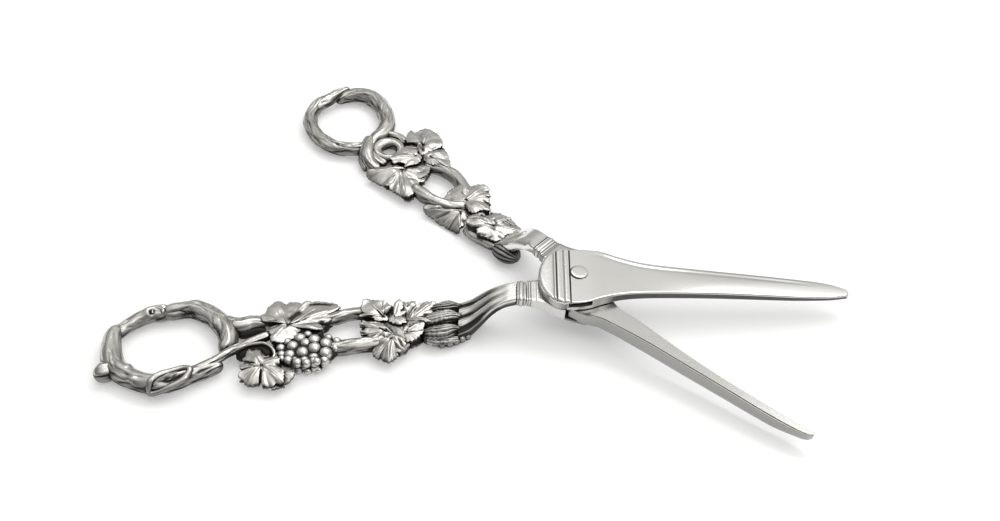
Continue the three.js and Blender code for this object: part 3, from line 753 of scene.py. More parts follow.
# Blades, drawn in the tilted joint plane

TIP_START, TIP_END = 66.4, 67.6
PLATE = 2.9
DISC_X, DISC_Y, DISC_REACH, DISC_HALF = -3.5, -1.05, 6.4, 9.15
GAP = 0.15  # half of the gap between the two blades
near_edge = smooth([
    (-3.5, -10.2), (0, -9.9), (3, -9.0), (5.2, -7.95), (10.1, -6.0), (15, -5.0), (20, -4.44), (25, -4.04),
    (35, -3.42), (45, -3.0), (55, -2.5), (60, -2.05), (63, -1.68), (65.4, -1.2), (TIP_START, -0.92)])
far_edge = smooth([
    (-3.5, 8.1), (1, 8.2), (5.6, 8.0), (10.6, 6.6), (15.5, 5.5), (20.5, 4.95), (25.5, 4.68), (35.6, 4.2),
    (45.7, 3.8), (55.8, 3.45), (60.9, 3.15), (63.4, 2.75), (65.4, 2.15), (TIP_START, 1.75)])
plate_thick = smooth([
    (-3.5, PLATE), (5, PLATE), (10, 2.55), (15, 2.35), (25, 2.2), (35, 2.1), (45, 1.95), (55, 1.65), (61, 1.45),
    (TIP_END, 1.3)])
# Chased lines across the joint plate: place, depth, width, tarnish
BANDS = [(-2.3, 0.3, 0.13, 0.7), (-3.8, 0.1, 0.14, 0.06), (-5.6, 0.2, 0.15, 0.25), (-6.4, 0.12, 0.2, 0.1)]
# Reeds between them: place, half width
REEDS = [(-3.05, 0.68), (-4.7, 0.84), (-6.0, 0.34)]


def blade_grain(rings):
    """Fine lines along the blade."""
    return rings[..., [1, 2, 0]] * [2.5, 2.5, 0.06]


def upper_edges(x):
    if x < DISC_X:
        half = DISC_HALF * math.sqrt(max(0, 1 - ((x - DISC_X) / DISC_REACH) ** 2))
        return DISC_Y - half, DISC_Y + half
    if x > TIP_START:
        share = (x - TIP_START) / (TIP_END - TIP_START)
        middle = (near_edge(TIP_START) + far_edge(TIP_START)) / 2 - 0.15 * share
        half = (far_edge(TIP_START) - near_edge(TIP_START)) / 2 * math.sqrt(max(0, 1 - share ** 2))
        return middle - half, middle + half
    return float(near_edge(x)), float(far_edge(x))


def upper_blade_shells():
    disc = DISC_X - DISC_REACH * np.cos(np.linspace(0.03, 1.45, 36))
    bands = np.linspace(-6.9, -1.6, 90)
    flat = np.r_[np.linspace(-1.5, 4, 36), np.linspace(4.3, 66.3, 170)]
    tip = TIP_START + (TIP_END - TIP_START) * np.sin(np.linspace(0.03, 1.545, 26))
    xs = np.unique(np.r_[disc[disc < -6.95], bands, flat, tip])
    w = 0.5 - 0.5 * np.cos(np.linspace(0, np.pi, 56))
    top_count = len(w)
    edges = np.array([upper_edges(x) for x in xs])
    near, far = edges[:, :1], edges[:, 1:]
    span = far - near
    y = near + span * w
    x = np.repeat(xs[:, None], top_count, axis=1)
    line = np.vstack([np.c_[xs, edges[:, 0]], np.c_[xs, edges[:, 1]]])
    away = np.array([np.min(np.hypot(*(line - p).T)) for p in np.c_[x.ravel(), y.ravel()]]).reshape(x.shape)
    away = np.minimum(away, np.minimum(y - near, far - y))
    round_off = 0.75 - 0.37 * ease(-4, -1, x) - 0.13 * ease(2, 8, x) * (w > 0.5)
    round_off -= 0.22 * (ease(-2.9, -2.7, x) - ease(2.95, 3.3, x)) * (w < 0.5) * ease(-4, -2.5, x)
    fall = round_off - np.sqrt(np.clip(round_off ** 2 - np.clip(round_off - away, 0, None) ** 2, 0, None))
    fall = np.minimum(fall, plate_thick(x) - 0.5)
    crown = 1.35 * ease(12, 38, x) * np.minimum(span / 7, 1) * (0.25 - (w - 0.5) ** 2)
    lip = 0.05 * bump(far - y - 0.8, 0.4) - 0.05 * bump(far - y - 1.6, 0.4)
    lip = ease(2, 10, x) * (1 - ease(50, 62, x)) * lip
    band = -sum(depth * bump(x - at, wide) for at, depth, wide, _ in BANDS)
    reed = sum(0.2 * np.sqrt(np.clip(1 - ((x - at) / half) ** 2, 0, None)) for at, half in REEDS)
    disc_round = -0.3 * (1 - ease(-9.9, -6.6, x))
    top = plate_thick(x) - fall + crown + lip + (band + reed + disc_round) * (x < -1.5)
    channel = (ease(-2.75, -2.7, xs) - ease(2.95, 3.0, xs))[:, None]
    lean = np.minimum(0.06, span * 0.1)
    head, tail = top[:, :1], top[:, -1:]
    deep = np.minimum(1.3, span * 0.3) * channel
    ground = GAP * np.ones_like(near)

    def level(share):
        return GAP + (head - GAP) * share

    near_wall = [
        (near + 0.01, level(0.97)), (near + 0.02, level(0.95)), (near + 0.03, level(0.93)),
        (near + deep + lean * 0.5, level(0.92) * channel + level(0.6) * (1 - channel)),
        (near + deep + lean * 0.6, level(0.4)),
        (near + lean * 0.7, level(0.38) * channel + level(0.2) * (1 - channel)), (near + lean, ground)]
    far_wall = [(far - 0.02, tail - 0.15), (far - lean * 0.5, 0.5 * tail), (far - lean, ground)]
    under = [(far - lean - (span - 2 * lean) * k / 5, ground) for k in range(1, 5)]
    loop = far_wall + under + near_wall[::-1]
    ys = np.concatenate([y, *[p[0] for p in loop]], axis=1)
    ts = np.concatenate([top, *[p[1] for p in loop]], axis=1)
    rings = xyz(xs[:, None], ys, ts)
    dark = np.zeros(ys.shape)
    dark[:, :top_count] += sum(shade * bump(x - at, wide) for at, _, wide, shade in BANDS)
    # Painted shade: the side walls are darkened, the near wall most and less at the lug, the channel is painted
    # black as its shadow, and the first rows at the disc end are darkened against a glint.
    lug = ease(-3.2, -2.8, xs) - ease(5.5, 9.0, xs)
    side = (0.95 - 0.66 * lug) * ease(-6, -2, xs) + 0.4 * (1 - ease(-6, -2, xs))
    dark[:, top_count:top_count + 3] = 0.4
    dark[:, top_count + 7:-2] = side[:, None]
    dark[:, top_count + 9:-2] += channel
    dark[:, -2] = 0.6 * side
    dark[:, -1] = 0.15
    dark[:2] = 0.5
    shank = shank_shell(lambda x: -0.05 + 0.21 * ease(-10.6, -10.0, x))
    return [loft(rings, blade_grain(rings), dark).moved(tilted), shank]


SHANK_END = -12.6
SHANK_LINES = (12.2, 11.6)  # grooves across the shank's end
SHANK_COLUMNS = 12


def shank_shell(top_at):
    outer = smooth([(SHANK_END, -7.4), (-9, -8.1), (-5.8, -9.5), (-3.2, -10.4)])
    inner = smooth([(SHANK_END, -0.6), (-9, -0.35), (-3.2, -0.3)])
    rings = []
    for x in np.r_[np.linspace(SHANK_END, -3.35, 48), -3.3]:
        groove = 0.16 * sum(bump(x + c, 0.11) for c in SHANK_LINES)
        low, high = outer(x) + groove, inner(x) - groove
        top = float(top_at(x)) - groove
        bottom = -2.6 - 0.8 * (x - SHANK_END) / 9.4 + groove
        y = np.linspace(low + 0.35, high - 0.35, SHANK_COLUMNS)
        flat = xyz(x, y, top)
        inner_wall = [(0.1, top - 0.1), (0, top - 0.35), (0, bottom + 0.3), (0.3, bottom)]
        edge = [[x, high - inset, z] for inset, z in inner_wall]
        other = [[x, low + inset, z] for inset, z in inner_wall[::-1]]
        rings.append(np.vstack([flat, edge, other]))
    rings = np.array(rings)
    # Painted shade: the shank's sides a little darker, and its end against the disc black.
    dark = np.zeros(rings.shape[:2])
    dark[:, SHANK_COLUMNS + 1:] = 0.26
    dark[-1] = 1
    return loft(rings, blade_grain(rings), dark).moved(tilted)


ROOT, CORNER = -2.0, 4.1  # where the lower blade starts, and where its outer edge begins
LOWER_TIP_START, LOWER_TIP_LONG = 60, 7
LOWER_COLUMNS = 18


def lower_blade_shells():
    cutting = smooth([(ROOT, -9.8), (2, -8.2), (7, -3.4), (11, -0.7), (18, -0.4), (26, 0.1), (34, 0.4),
                      (44, 0.4), (54, -0.1), (62, -0.6), (67, -1.0)])
    outer_edge = smooth([(CORNER, 8.5), (7, 8.0), (9, 7.3), (11, 6.3), (15, 5.5), (22.6, 4.5), (34, 3.75),
                         (45, 3.1), (55.5, 2.5), (60, 2.1), (63, 1.65), (65.4, 1.1), (66.5, 0.55), (67, -0.2)])
    depth = smooth([(-2.4, 3.4), (4.6, 3.6), (11, 4.1), (54, 4.1), (60, 3.8), (64, 3.0), (66, 2.3), (67, 1.8)])
    floor = smooth([(-2.4, 3.4), (4.6, 3.6), (9, 2.2), (18, 1.3), (60, 1.2), (67, 0.7)])
    lean = smooth([(-2.4, 0.0), (4.6, 0.1), (11, 0.7), (23, 0.8), (45, 0.9), (56, 0.8), (64, 0.7), (67, 0.1)])
    tip = LOWER_TIP_START + LOWER_TIP_LONG * np.sin(np.linspace(0.05, np.pi / 2, 34))
    xs = np.r_[ROOT, np.linspace(-1.95, 4.05, 26), np.linspace(CORNER, 12, 40), np.linspace(12.3, 60, 120), tip]
    rings, dark = [], []
    for x in xs:
        low = float(cutting(x))
        high = float(outer_edge(x)) if x > CORNER else 0.5 + (x - ROOT) / 6.1 * 8.0
        span = max(high - low, 0.05)
        deep, plate = float(depth(x)), float(floor(x))
        slip = min(float(lean(x)), span * 0.5)
        wall = min(1.3, span * 0.45)
        groove = min(0.26, span * 0.1) * float(ease(7.0, 9.0, x))
        bevel = min(0.07, span * 0.1)
        fall = 0.12 * min(1.0, span / 3.0) * float(ease(40, 64, x))
        brink = -GAP - fall
        y = np.linspace(low + bevel, high - 2.2 * groove - bevel, LOWER_COLUMNS)
        flat = np.c_[y, -GAP - fall * (y - low) / span]
        seam = [[high - 1.6 * groove - bevel, brink - 0.6 * groove], [high - groove - bevel, brink]]
        foot = high - slip
        outer = [[high - bevel, brink], [high, brink - bevel], [high - slip * 0.3, -deep * 0.4],
                 [high - slip * 0.75, -deep * 0.8], [foot, -deep + 0.15 * deep * 0.3],
                 [foot - 0.2 * wall, -deep]]
        inner = [[foot - wall, -deep], [foot - wall - 0.1, -plate - (deep - plate) * 0.4],
                 [foot - wall - min(0.5, span * 0.1), -plate], [low + bevel, -plate], [low, -plate + 0.1],
                 [low, -GAP - bevel]]
        ring = np.vstack([flat, seam, outer, inner])
        rings.append(xyz(x, *ring.T))
        # Painted shade: a dark line in the groove along the outer edge, the outer wall darker towards the
        # bottom and dark by the joint, the inner wall and underside darker, and the root's end black.
        seam_shade = [1.0 * (groove > 0.02), 0.25, 0.05]
        wall_shade = np.array([0.02, 0.02, 0.06, 0.14, 0.3]) + (x < 4.3)
        shade = np.r_[np.zeros(LOWER_COLUMNS), seam_shade, wall_shade, np.full(3, 0.5), np.full(3, 0.3)]
        dark.append(shade if x > ROOT else np.ones(len(ring)))
    rings = np.array(rings)
    blade = loft(rings, blade_grain(rings), np.array(dark)).moved(tilted)
    root = []
    for x in np.linspace(-3.9, -1.2, 14):
        low = -10.4 if x < -3.2 else float(cutting(max(x, -2.4)))
        root.append([[x, low, -3.4], [x, -0.35, -3.4], [x, -0.3, -0.35], [x, -0.5, -0.16],
                     [x, low + 0.2, -0.16], [x, low, -0.35]])
    share = np.linspace(0, 1, 61)
    front = np.c_[2.9 + 5.9 * share, 9.2 - 2.6 * share ** 1.3 + 0.22 * np.abs(np.sin(np.pi * 3 * share)) ** 0.6]
    outline = np.vstack([front, [(8.0, 5.4), (5.0, 6.0), (1.8, 5.2), (0.6, 6.2)]])
    inset = outline + (outline.mean(axis=0) - outline) * 0.06
    levels = ((inset, -3.5), (outline, -3.6), (outline, -4.0), (inset, -4.1))
    plate = np.array([xyz(*line.T, t) for line, t in levels])
    # The stop plate under the joint is darkened as painted shade.
    ridges = loft(plate, None, np.full(plate.shape[:2], 0.55)).moved(tilted)
    shank = shank_shell(lambda x: np.full_like(x, -GAP))
    return [blade, shank, loft(np.array(root)).moved(tilted), ridges]


# Rivet from its lower to its upper end: radius, height, painted shade (in the gap round the head, on the shaft
# and under it)
RIVET = np.array([
    (0.02, -4.4, 0.3), (2.2, -4.4, 0.3), (2.5, -4.25, 0.3), (2.6, -4.0, 0.3), (2.6, -3.7, 0.5),
    (1.25, -3.7, 0.5), (1.25, 2.6, 0.5), (2.36, 2.6, 0.8), (2.36, 2.93, 0.9), (2.12, 2.95, 0.9),
    (2.1, 3.1, 0.25), (2.06, 3.22, 0), (1.98, 3.29, 0), (1.86, 3.32, 0), (1.5, 3.33, 0), (0.8, 3.35, 0),
    (0.02, 3.35, 0),
])


def rivet_shells():
    phi = np.linspace(0, TURN, 64, endpoint=False)
    radius, height, shade = RIVET.T[..., None]
    rings = xyz(radius * np.cos(phi), radius * np.sin(phi), height)
    return [loft(rings, None, np.repeat(shade, len(phi), axis=1)).moved(tilted)]


# Upper lever

# Grapes of the bunch: x, y, height, radius
GRAPES = [
    (-71.6, -16.9, 3.4, 1.12), (-71.2, -18.7, 3, 1.12), (-69.1, -19.1, 3.4, 1.32), (-68.7, -16.7, 3.8, 1.42),
    (-67.2, -14.3, 3.9, 1.37), (-65.7, -15.9, 4.1, 1.27), (-66.1, -18.6, 3.7, 1.52),
    (-63.7, -15.1, 4.2, 1.52), (-63.4, -17.4, 3.9, 1.62), (-63.4, -19.6, 3, 1.37), (-60.9, -15.9, 3.9, 1.52),
    (-60.7, -18.5, 3.5, 1.5), (-58.7, -16.4, 3, 1.16), (-58.5, -14.4, 3.2, 1.06), (-60.6, -13.5, 3.4, 1.06),
    (-65.6, -12.9, 3.9, 1.01), (-67.8, -20.4, 2.2, 1.42), (-65.5, -20.7, 1.7, 1.32),
    (-63.2, -20.9, 1.5, 1.22), (-60.9, -20.1, 1.9, 1.2), (-67, -21.6, 1.1, 1.12), (-64.8, -21.8, 1, 1.01),
    (-71, -20, 1.7, 1.01), (-69.3, -20.7, 1.3, 1.12), (-70.2, -15.2, 3.7, 1.01), (-62.4, -21.3, 0.9, 0.91),
]
GRAPE_SWELL = 1.07


def grape_bunch(tree):
    centres, girths = [], []
    for x, y, z, girth in GRAPES:
        girth = min(girth * GRAPE_SWELL, z + 0.1)
        for height in (z, max(2 * MID - z, girth)):
            centres.append((x, y, height))
            girths.append(girth)
    # The core between the grapes is darkened as painted shade in the gaps; the grapes themselves are made a
    # little darker all over.
    core = fluted_lump((-65.2, -17, MID + 0.1), (7.2, 4.6, 2.25), 9)
    return [core.darkened(), berries(tree, centres, girths, 0.03, 4).darkened(0.16)]


def upper_ring():
    old_wood = [
        (-112.5, -9.4, 3, 1.3), (-113.2, -11.8, 2.85, 1.9), (-113, -15.4, 2.6, 2.4),
        (-111.8, -19.8, 2.55, 2.65), (-109.2, -23.6, 2.5, 2.6), (-104.6, -26.2, 2.45, 2.4),
        (-100.2, -27.4, 2.45, 2.6), (-97, -27, 2.45, 2.5), (-92.6, -25.1, 2.4, 2.25), (-88.6, -23, 2.3, 2),
        (-85, -20.9, 2.2, 1.5)]
    young_wood = [
        (-114, -12.8, 2.2, 1.8), (-110.8, -9, 2.3, 1.8), (-108, -6.5, 2.35, 1.9), (-105.2, -4.8, 2.4, 2.1),
        (-102.6, -4.2, 2.35, 2.2), (-100.6, -3.9, 2.3, 1.9)]
    lapped = [
        (-103.4, -5.2, 2.5, 1.3), (-101, -4.1, 2.55, 2.15), (-98.4, -3.4, 2.5, 2.3), (-95.4, -3.2, 2.5, 2.35),
        (-92, -4.4, 2.5, 2.45), (-88.4, -7.2, 2.45, 2.6), (-85.8, -10.8, 2.4, 2.6), (-84.9, -14.2, 2.35, 2.3),
        (-85.6, -17.6, 2.3, 1.9)]
    twig_end = [(-88.2, -7, 2.4, 2), (-84.8, -8.4, 2.4, 2.1), (-82, -8.4, 2.4, 1.8)]
    stub = [(-109, -21.5, 2, 2), (-111, -22.9, 2.1, 2.3), (-113.1, -24, 2.3, 2.5), (-115.1, -24.6, 2.4, 2.25)]
    eye = [(-103.7 + 1.3 * math.cos(a), -5.4 + 0.95 * math.sin(a), 4.05 + 0.25 * math.sin(a),
            0.42 + 0.12 * math.cos(a)) for a in np.linspace(-0.6, 3.9, 10)]
    marks = [(0.6, 2), (0.605, 62), (0.645, 100), (0.72, 122), (0.79, 120), (0.815, 92), (0.79, 56), (0.7, 24)]
    sheath = laid_on(old_wood, marks, 0.05, 0.72)
    return [
        branch(old_wood, 64, 0.3, seed=1, chased=44,
               knots=[(0.5, 1, 0.45, 1.1), (0.42, 2.4, 0.5, 1), (0.72, 1.2, 0.4, 1.6)],
               scars=[(0.71, 66, 3.2, 1.3, 0.35, 0.75), (0.88, 60, 2.2, 0.8, 0.15, 0.5),
                      (0.36, 40, 2.4, 0.9, 0.12, 0.35)]),
        branch(young_wood, 48, 0.3, seed=2, chased=22, knots=[(0.66, 1.3, 0.5, 1.3)],
               scars=[(0.7, 62, 0.75, 0.75, 0.7, 1.1), (0.4, 35, 2.5, 0.7, 0.1, 0.35)]),
        branch(lapped, 56, 0.3, bark=0.055, seed=3, chased=38,
               knots=[(0.62, 0.6, 0.3, 1.6), (0.3, 2.2, 0.3, 1.2)],
               scars=[(0.27, 25, 3, 0.9, 0.15, 0.55), (0.5, 120, 2.6, 0.7, 0.12, 0.4),
                      (0.8, 40, 1.6, 0.8, 0.12, 0.4)]),
        branch(twig_end, 48, 0.3, bark=0.06, seed=6, chased=10),
        branch(stub, 40, 0.25, bark=0.06, seed=4, twist=0.1, chased=4),
        branch(eye, sides=16, step=0.15, bark=0.12, seed=5),
        branch(sheath, sides=16, step=0.2, bark=0.06, seed=7, looped=True),
    ]


def stem(node, lever, points, height, thick, seed, bark):
    rows = [(x, y, height, thick) for x, y in points]
    piece(node, lever, [branch(rows, 40, 0.3, bark=bark, seed=seed, chased=14)], CAST)


def build_upper():
    piece("upper_finger_ring", UPPER, upper_ring(), CAST)

    # A dark web under the vine leaf, painted black as shade.
    leaf_under = [(-66, -8.4, 1.8, 1.6), (-63.4, -8.2, 1.6, 1.6), (-61, -7.6, 1.5, 1.3)]
    piece("upper_vine_leaf", UPPER, [
        sheet((-70.8, -10.2), rim(1.6, [
            -777, -67, 3, 7, 6, 5, -1, 7, 4, 13, 7, 10, 8, 8, 9, 3, 9, -4, 8, -7, 3, 8, 8, 4, 9, -1, 5, 2,
            7, -6, 6, -6, 5, 7, 8, 5, 11, -2, 14, 0, 16, 3, 20, -2, 14, -10, 9, -12, -9, -9, -7, -6, -7, -5,
            -7, -5, 8, -7, 4, -9, -8, -6, -10, -6, -8, 0, 6, -8, 3, -10, -4, -6, -11, -2, -12, 0, -11, 2,
            -13, 5, -6, -7, -4, -11, -5, -13, -8, -6, -9, -11, -12, -2, -11, 3, -9, 1, -5, 9, 2, 12, -10, 14,
            4, 12, 11, 8, 6, 2, -5, 6, -7, 5, -13, -2, -13, 0, -7, 10,
        ]), (1.9, 0.3), 70, veins=6, creases=[
            (-66.2, -2.2, -61.2, -2, 0.42, 0.48, 1.2), (-69.4, -9.7, -65.2, -4.8, 0.16, 0.24, 0.72),
            (-70.6, -7.9, -68.7, -5.8, 1.1, 0.16, 0.92), (-67.2, -8.4, -66.3, -7.3, 0.2, 0.16, 0.64),
            (-76.7, -9, -73.9, -8.6, 0.25, 0.24, 0.72), (-75.1, -11.3, -73.1, -10.3, 0.35, 0.32, 0.72),
            (-73.5, -1.9, -72.6, -2.5, 0.25, 0.16, 0.48), (-63.4, -8.7, -62.9, -9.3, 0.2, 0.16, 0.64),
            (-62.7, -8.5, -61.9, -10, 0.5, 0.24, 1.2),
        ]),
        backing((-69.4, -9), (7, 5.4), 1.1, 67),
        branch(leaf_under, 24, 0.4, seed=69).darkened(),
    ], LEAF)

    tree = berry_tree()
    piece("upper_grape_bunch", UPPER, grape_bunch(tree), LIT_CAST)

    # A dark web under the small leaf, painted black as shade.
    underside = [(-82.3, -18.6, 1.5, 1.3), (-80.6, -17.3, 1.6, 1.6), (-78.4, -16.2, 1.8, 1.8),
                 (-75.6, -16.6, 1.9, 1.8), (-74.2, -18.8, 1.8, 1.6)]
    piece("upper_small_leaf", UPPER, [
        sheet((-75.3, -22.7), rim(1.4, [
            -795, -185, 6, 6, 9, -4, 6, 7, 11, -6, 8, -11, 7, -6, 7, 0, 8, -2, 11, -1, 9, -8, -2, -9, -1, -9,
            6, -5, 8, -6, 4, -14, 1, -22, -9, 0, -6, 1, -9, -6, -9, -1, -9, 1, -7, 3, -5, 18, -2, -7, -2, -8,
            -11, -2, -11, -1, -9, 6, -5, 9, -6, 0, -6, 7, 3, 6, 6, 6, 1, 4, -6, 2, -4, 6, 0, 7, 8, 2, 4, 3,
            -7, 8, -3, 8, 7, 5,
        ], (15, [1.2, 0.5, 0.5, 0.5, 0.4, 0.3, 0.4, 0.5, 1.1, 0.8, 0.5, 0.5, 0.4, 0.6, 1, 1, 1.2])),
        (1.5, 0.35), 80, veins=6, creases=[
            (-74.7, -20.4, -73.8, -19.9, 0.35, 0.32, 0.8), (-78.4, -22.7, -76.9, -23.4, 0.25, 0.24, 0.64),
            (-75.2, -24.3, -75, -26.2, 0.25, 0.32, 0.72), (-79.6, -21.4, -77.1, -22.4, 0.25, 0.24, 0.64),
            (-79.7, -24, -77.7, -23.7, 0.2, 0.24, 0.72), (-71.7, -22.3, -70.5, -22.7, 0.4, 0.24, 0.8),
        ]),
        # An under-sheet below the small leaf, darkened as painted shade.
        sheet((-71, -24.9), rim(0.3, [
            -722, -286, 14, 6, 13, 10, 12, 12, 7, 15, -7, 11, -13, 12, -14, 13, -18, -6,
        ]), (0.7, 0.1), 81, veins=1, tone=0.3, creases=[
            (-71.4, -26.6, -70.2, -27.4, 0.5, 0.16, 0.72), (-74.7, -27.4, -73.9, -27.9, 0.5, 0.16, 0.72),
        ]),
        branch(underside, 24, 0.4, seed=68).darkened(),
    ], LEAF)

    piece("upper_rosette_leaf", UPPER, [
        sheet((-47.6, -6.9), rim(1.9, [
            -532, -21, 4, 12, 10, 0, 10, 0, 10, 0, 9, -3, 10, 0, 8, -11, 11, -11, -8, -9, -9, -7, 5, -12,
            8, -12, -5, -5, -11, -2, -12, -1, -9, 8, -17, 7, -17, -4, 1, 9, 10, 5, -7, 7, -3, 13,
        ]), (1.6, 0.3), 90, veins=3, creases=[
            (-49.4, -4.9, -47.6, -7, 0.15, 0.24, 0.72), (-48.4, -4.9, -47.6, -6.2, 0.12, 0.16, 0.64),
            (-53.1, -7.1, -50.8, -7.1, 0.4, 0.32, 0.72), (-47.4, -5.3, -46.4, -4.1, 0.5, 0.24, 0.64),
        ]),
        sheet((-45, -7.1), rim(2.4, [
            -463, -76, 9, 15, 1, 14, -2, 12, 5, 10, 9, 6, 6, -4, 3, -18, -2, -10, 10, -4, -4, -11, 4, -14,
            4, -10, -10, -4, -9, -4, -12, 6, -9, 8,
        ]), (2.3, 0.2), 91, veins=2, creases=[
            (-43.4, -5, -43.2, -4.9, 0.3, 0.24, 0.72), (-43, -6.8, -42, -6, 0.35, 0.24, 0.72),
            (-44.9, -9.5, -43.3, -10.7, 0.4, 0.24, 0.8),
        ]),
        sheet((-42.1, -2.7), rim(1.4, [
            -441, -10, 16, 1, 19, 0, 3, -8, -1, -10, -9, -10, -8, -10, -9, 8, -5, 12,
        ]), (1.4, 0.1), 92, veins=2, tone=0.12),
        sheet((-40.5, -7), rim(1.8, [
            -419, -74, 3, 19, 8, 14, 9, 12, 11, 7, 13, 4, 7, -2, 11, 1, 6, -7, -3, -12, -10, -4, 6, -8,
            -7, -10, -14, 0, 6, -6, 8, -8, 7, -9, -15, -2, -12, 2, -16, -1, -11, -2, -6, 4,
        ]), (1.8, 0.3), 93, veins=3, creases=[
            (-41.4, -6.6, -39.7, -3.5, 0.15, 0.16, 0.48), (-41.3, -8, -37.7, -8.4, 0.15, 0.16, 0.56),
            (-37.7, -6, -36.3, -6.2, 0.35, 0.24, 0.72), (-36.1, -4, -35.3, -3.8, 0.3, 0.24, 0.64),
        ]),
        sheet((-41.7, -11.8), rim(1.6, [
            -434, -119, 4, 18, 4, 11, 11, 4, 6, -13, 7, 7, 11, 6, 14, -2, -1, -19, 0, -11, -8, -10, -8, -9,
            -11, -6, -9, -2, -9, 7, -6, 10,
        ]), (1.7, 0.4), 94, veins=2, creases=[
            (-42.7, -12.5, -39.8, -11.7, 0.15, 0.2, 0.68), (-42.3, -11.9, -41.5, -11.1, 0.12, 0.16, 0.64),
            (-41, -10.2, -40.5, -9.4, 0.3, 0.24, 0.64),
        ]),
        sheet((-46.6, -11.9), rim(1.7, [
            -532, -96, 7, 12, 14, -5, 17, 1, 17, -4, 14, -12, 11, -16, 6, -9, -14, -2, -9, -8, -6, 8, -8, -1,
            -5, -8, -9, 2, -9, 9, -8, 3, -10, -2, -4, 10, 11, 7, 0, 10, -9, -3,
        ]), (1.8, 0.35), 95, veins=3, creases=[
            (-48.4, -11.1, -45.2, -12.6, 0.14, 0.2, 0.72), (-46.8, -11.3, -46.1, -11.8, 0.12, 0.16, 0.64),
            (-50.5, -9.4, -48.7, -9.2, 0.15, 0.16, 0.56), (-48.3, -13.8, -47.3, -13.6, 0.35, 0.32, 0.8),
            (-52.9, -9.8, -51.9, -10.4, 0.3, 0.24, 0.8), (-52.6, -12.1, -51.7, -12.5, 0.3, 0.24, 0.8),
        ]),
        backing((-45, -8.2), (7, 6), 1.5, 61),
    ], LEAF)
    piece("upper_rosette_outer_leaf", UPPER, [
        sheet((-45.2, -14.1), rim(1.2, [
            -493, -147, 6, 7, 11, -3, 9, 7, 7, 9, 13, 2, 12, -5, 11, -6, 5, -13, -2, -9, 2, -10, -7, -5,
            -9, 2, 0, -7, -5, -9, -7, -8, -8, -5, -10, 4, -5, 6, -6, 5, -5, -5, -6, 5, -6, 7, -1, 11, 2, 12,
        ], (8, [1.1, 0.9, 0.7, 0.6, 0.7, 0.5, 0.4, 0.2, 0.1, 0.2, 0.3, 0.4, 0.3, 0.4, 0.6, 0.8, 1])),
        (1.9, 0.5), 100, veins=3, creases=[
            (-48.8, -15.5, -47.2, -15.5, 0.9, 0.24, 0.6), (-43.2, -14.5, -42.4, -16, 0.35, 0.32, 0.72),
            (-46.8, -19.5, -46.1, -20.3, 0.4, 0.24, 0.72), (-45.6, -14.1, -45.4, -20.4, 0.15, 0.12, 0.32),
            (-44.7, -20.1, -43.9, -19, 0.2, 0.16, 0.56),
        ]),
        backing((-44.6, -14.6), (3.6, 3), 1, 62),
    ], LEAF)

    ring_stem = [(-86, -8.8, MID, 2.2), (-82.5, -8.6, MID, 2.15), (-80, -7.6, 2.3, 2), (-77, -7.2, 1.9, 1.8),
                 (-72, -7, 1.7, 1.7)]
    # A dark web under the ring stem, painted black as shade.
    under_stem = [(-83.6, -10.4, 1.4, 1.3), (-81.6, -10.2, 1.3, 1.3), (-79.4, -9.6, 1.3, 1.3),
                  (-75.6, -9.4, 1.3, 1.3)]
    piece("upper_ring_stem", UPPER, [branch(ring_stem, 40, 0.3, bark=0.07, seed=11, chased=14),
                                     branch(under_stem, 28, 0.4, seed=17).darkened()], CAST)
    stem("upper_ring_branch", UPPER, [(-91, -24), (-87, -21.2), (-84, -18.2), (-81, -16.3), (-78.4, -14.6),
                                      (-74.8, -12.4)], 3.4, 1.2, 12, 0.07)
    inner = [(-66, -7.2), (-60.3, -6), (-56.7, -4.5), (-53.3, -3.9), (-47, -5.2)]
    stem("upper_inner_stem", UPPER, inner, MID, 1.7, 13, 0.07)
    outer = [(-64, -16.4), (-58, -15.8), (-53.5, -15), (-46, -13.2)]
    stem("upper_outer_stem", UPPER, outer, MID, 1.95, 14, 0.07)
    tendril = [(-80.6, -16.6, 3.8, 0.45), (-78.2, -16.2, 4.2, 0.45), (-75.6, -16.1, 4.3, 0.42),
               (-73.6, -17.4, 4.1, 0.4), (-72.8, -19.2, 3.8, 0.42), (-73.4, -21.4, 3.7, 0.45)]
    piece("upper_tendril", UPPER, [branch(tendril, sides=14, step=0.2, bark=0.02, seed=15)], CAST)
    pods = [
        ((-28.8, -2.9), (-37.6, -3.6), 2.1, (2.3, 2.7, 1.2)),
        ((-28.6, -6.5), (-38.6, -8), 2.5, (2.4, 2.9, 1.4)),
        ((-28.7, -10.4), (-38.4, -11.2), 2.6, (2.2, 2.5, 1.1)),
        ((-29.2, -12.3), (-37, -13.4), 1.7, (0.9, 1, 0.5)),
    ]
    edge = [(-36.6, -12, 1.5), (-34.9, -12.6, 1.5), (-33.2, -12.9, 1.5), (-31.4, -12.8, 1.5),
            (-29.9, -12.3, 1.5), (-28.5, -11.5, 1.5), (-27.2, -10.6, 1.4)]
    scallops = berries(tree, edge, [1.25, 1.35, 1.4, 1.3, 1.3, 1.25, 1.15], 0.06, 9)
    piece("upper_husk", UPPER, [*husk_shells(pods), scallops], CAST)
    piece("upper_neck", UPPER, neck_shells(0.8, NECK_EDGE, slim=0), LIT_CAST, sharp=55)
    piece("upper_collar", UPPER, collar_shells(), POLISHED)
    piece("upper_blade", UPPER, upper_blade_shells(), POLISHED, sharp=38)
    piece("pivot_rivet", UPPER, rivet_shells(), POLISHED, sharp=38)


# Lower lever

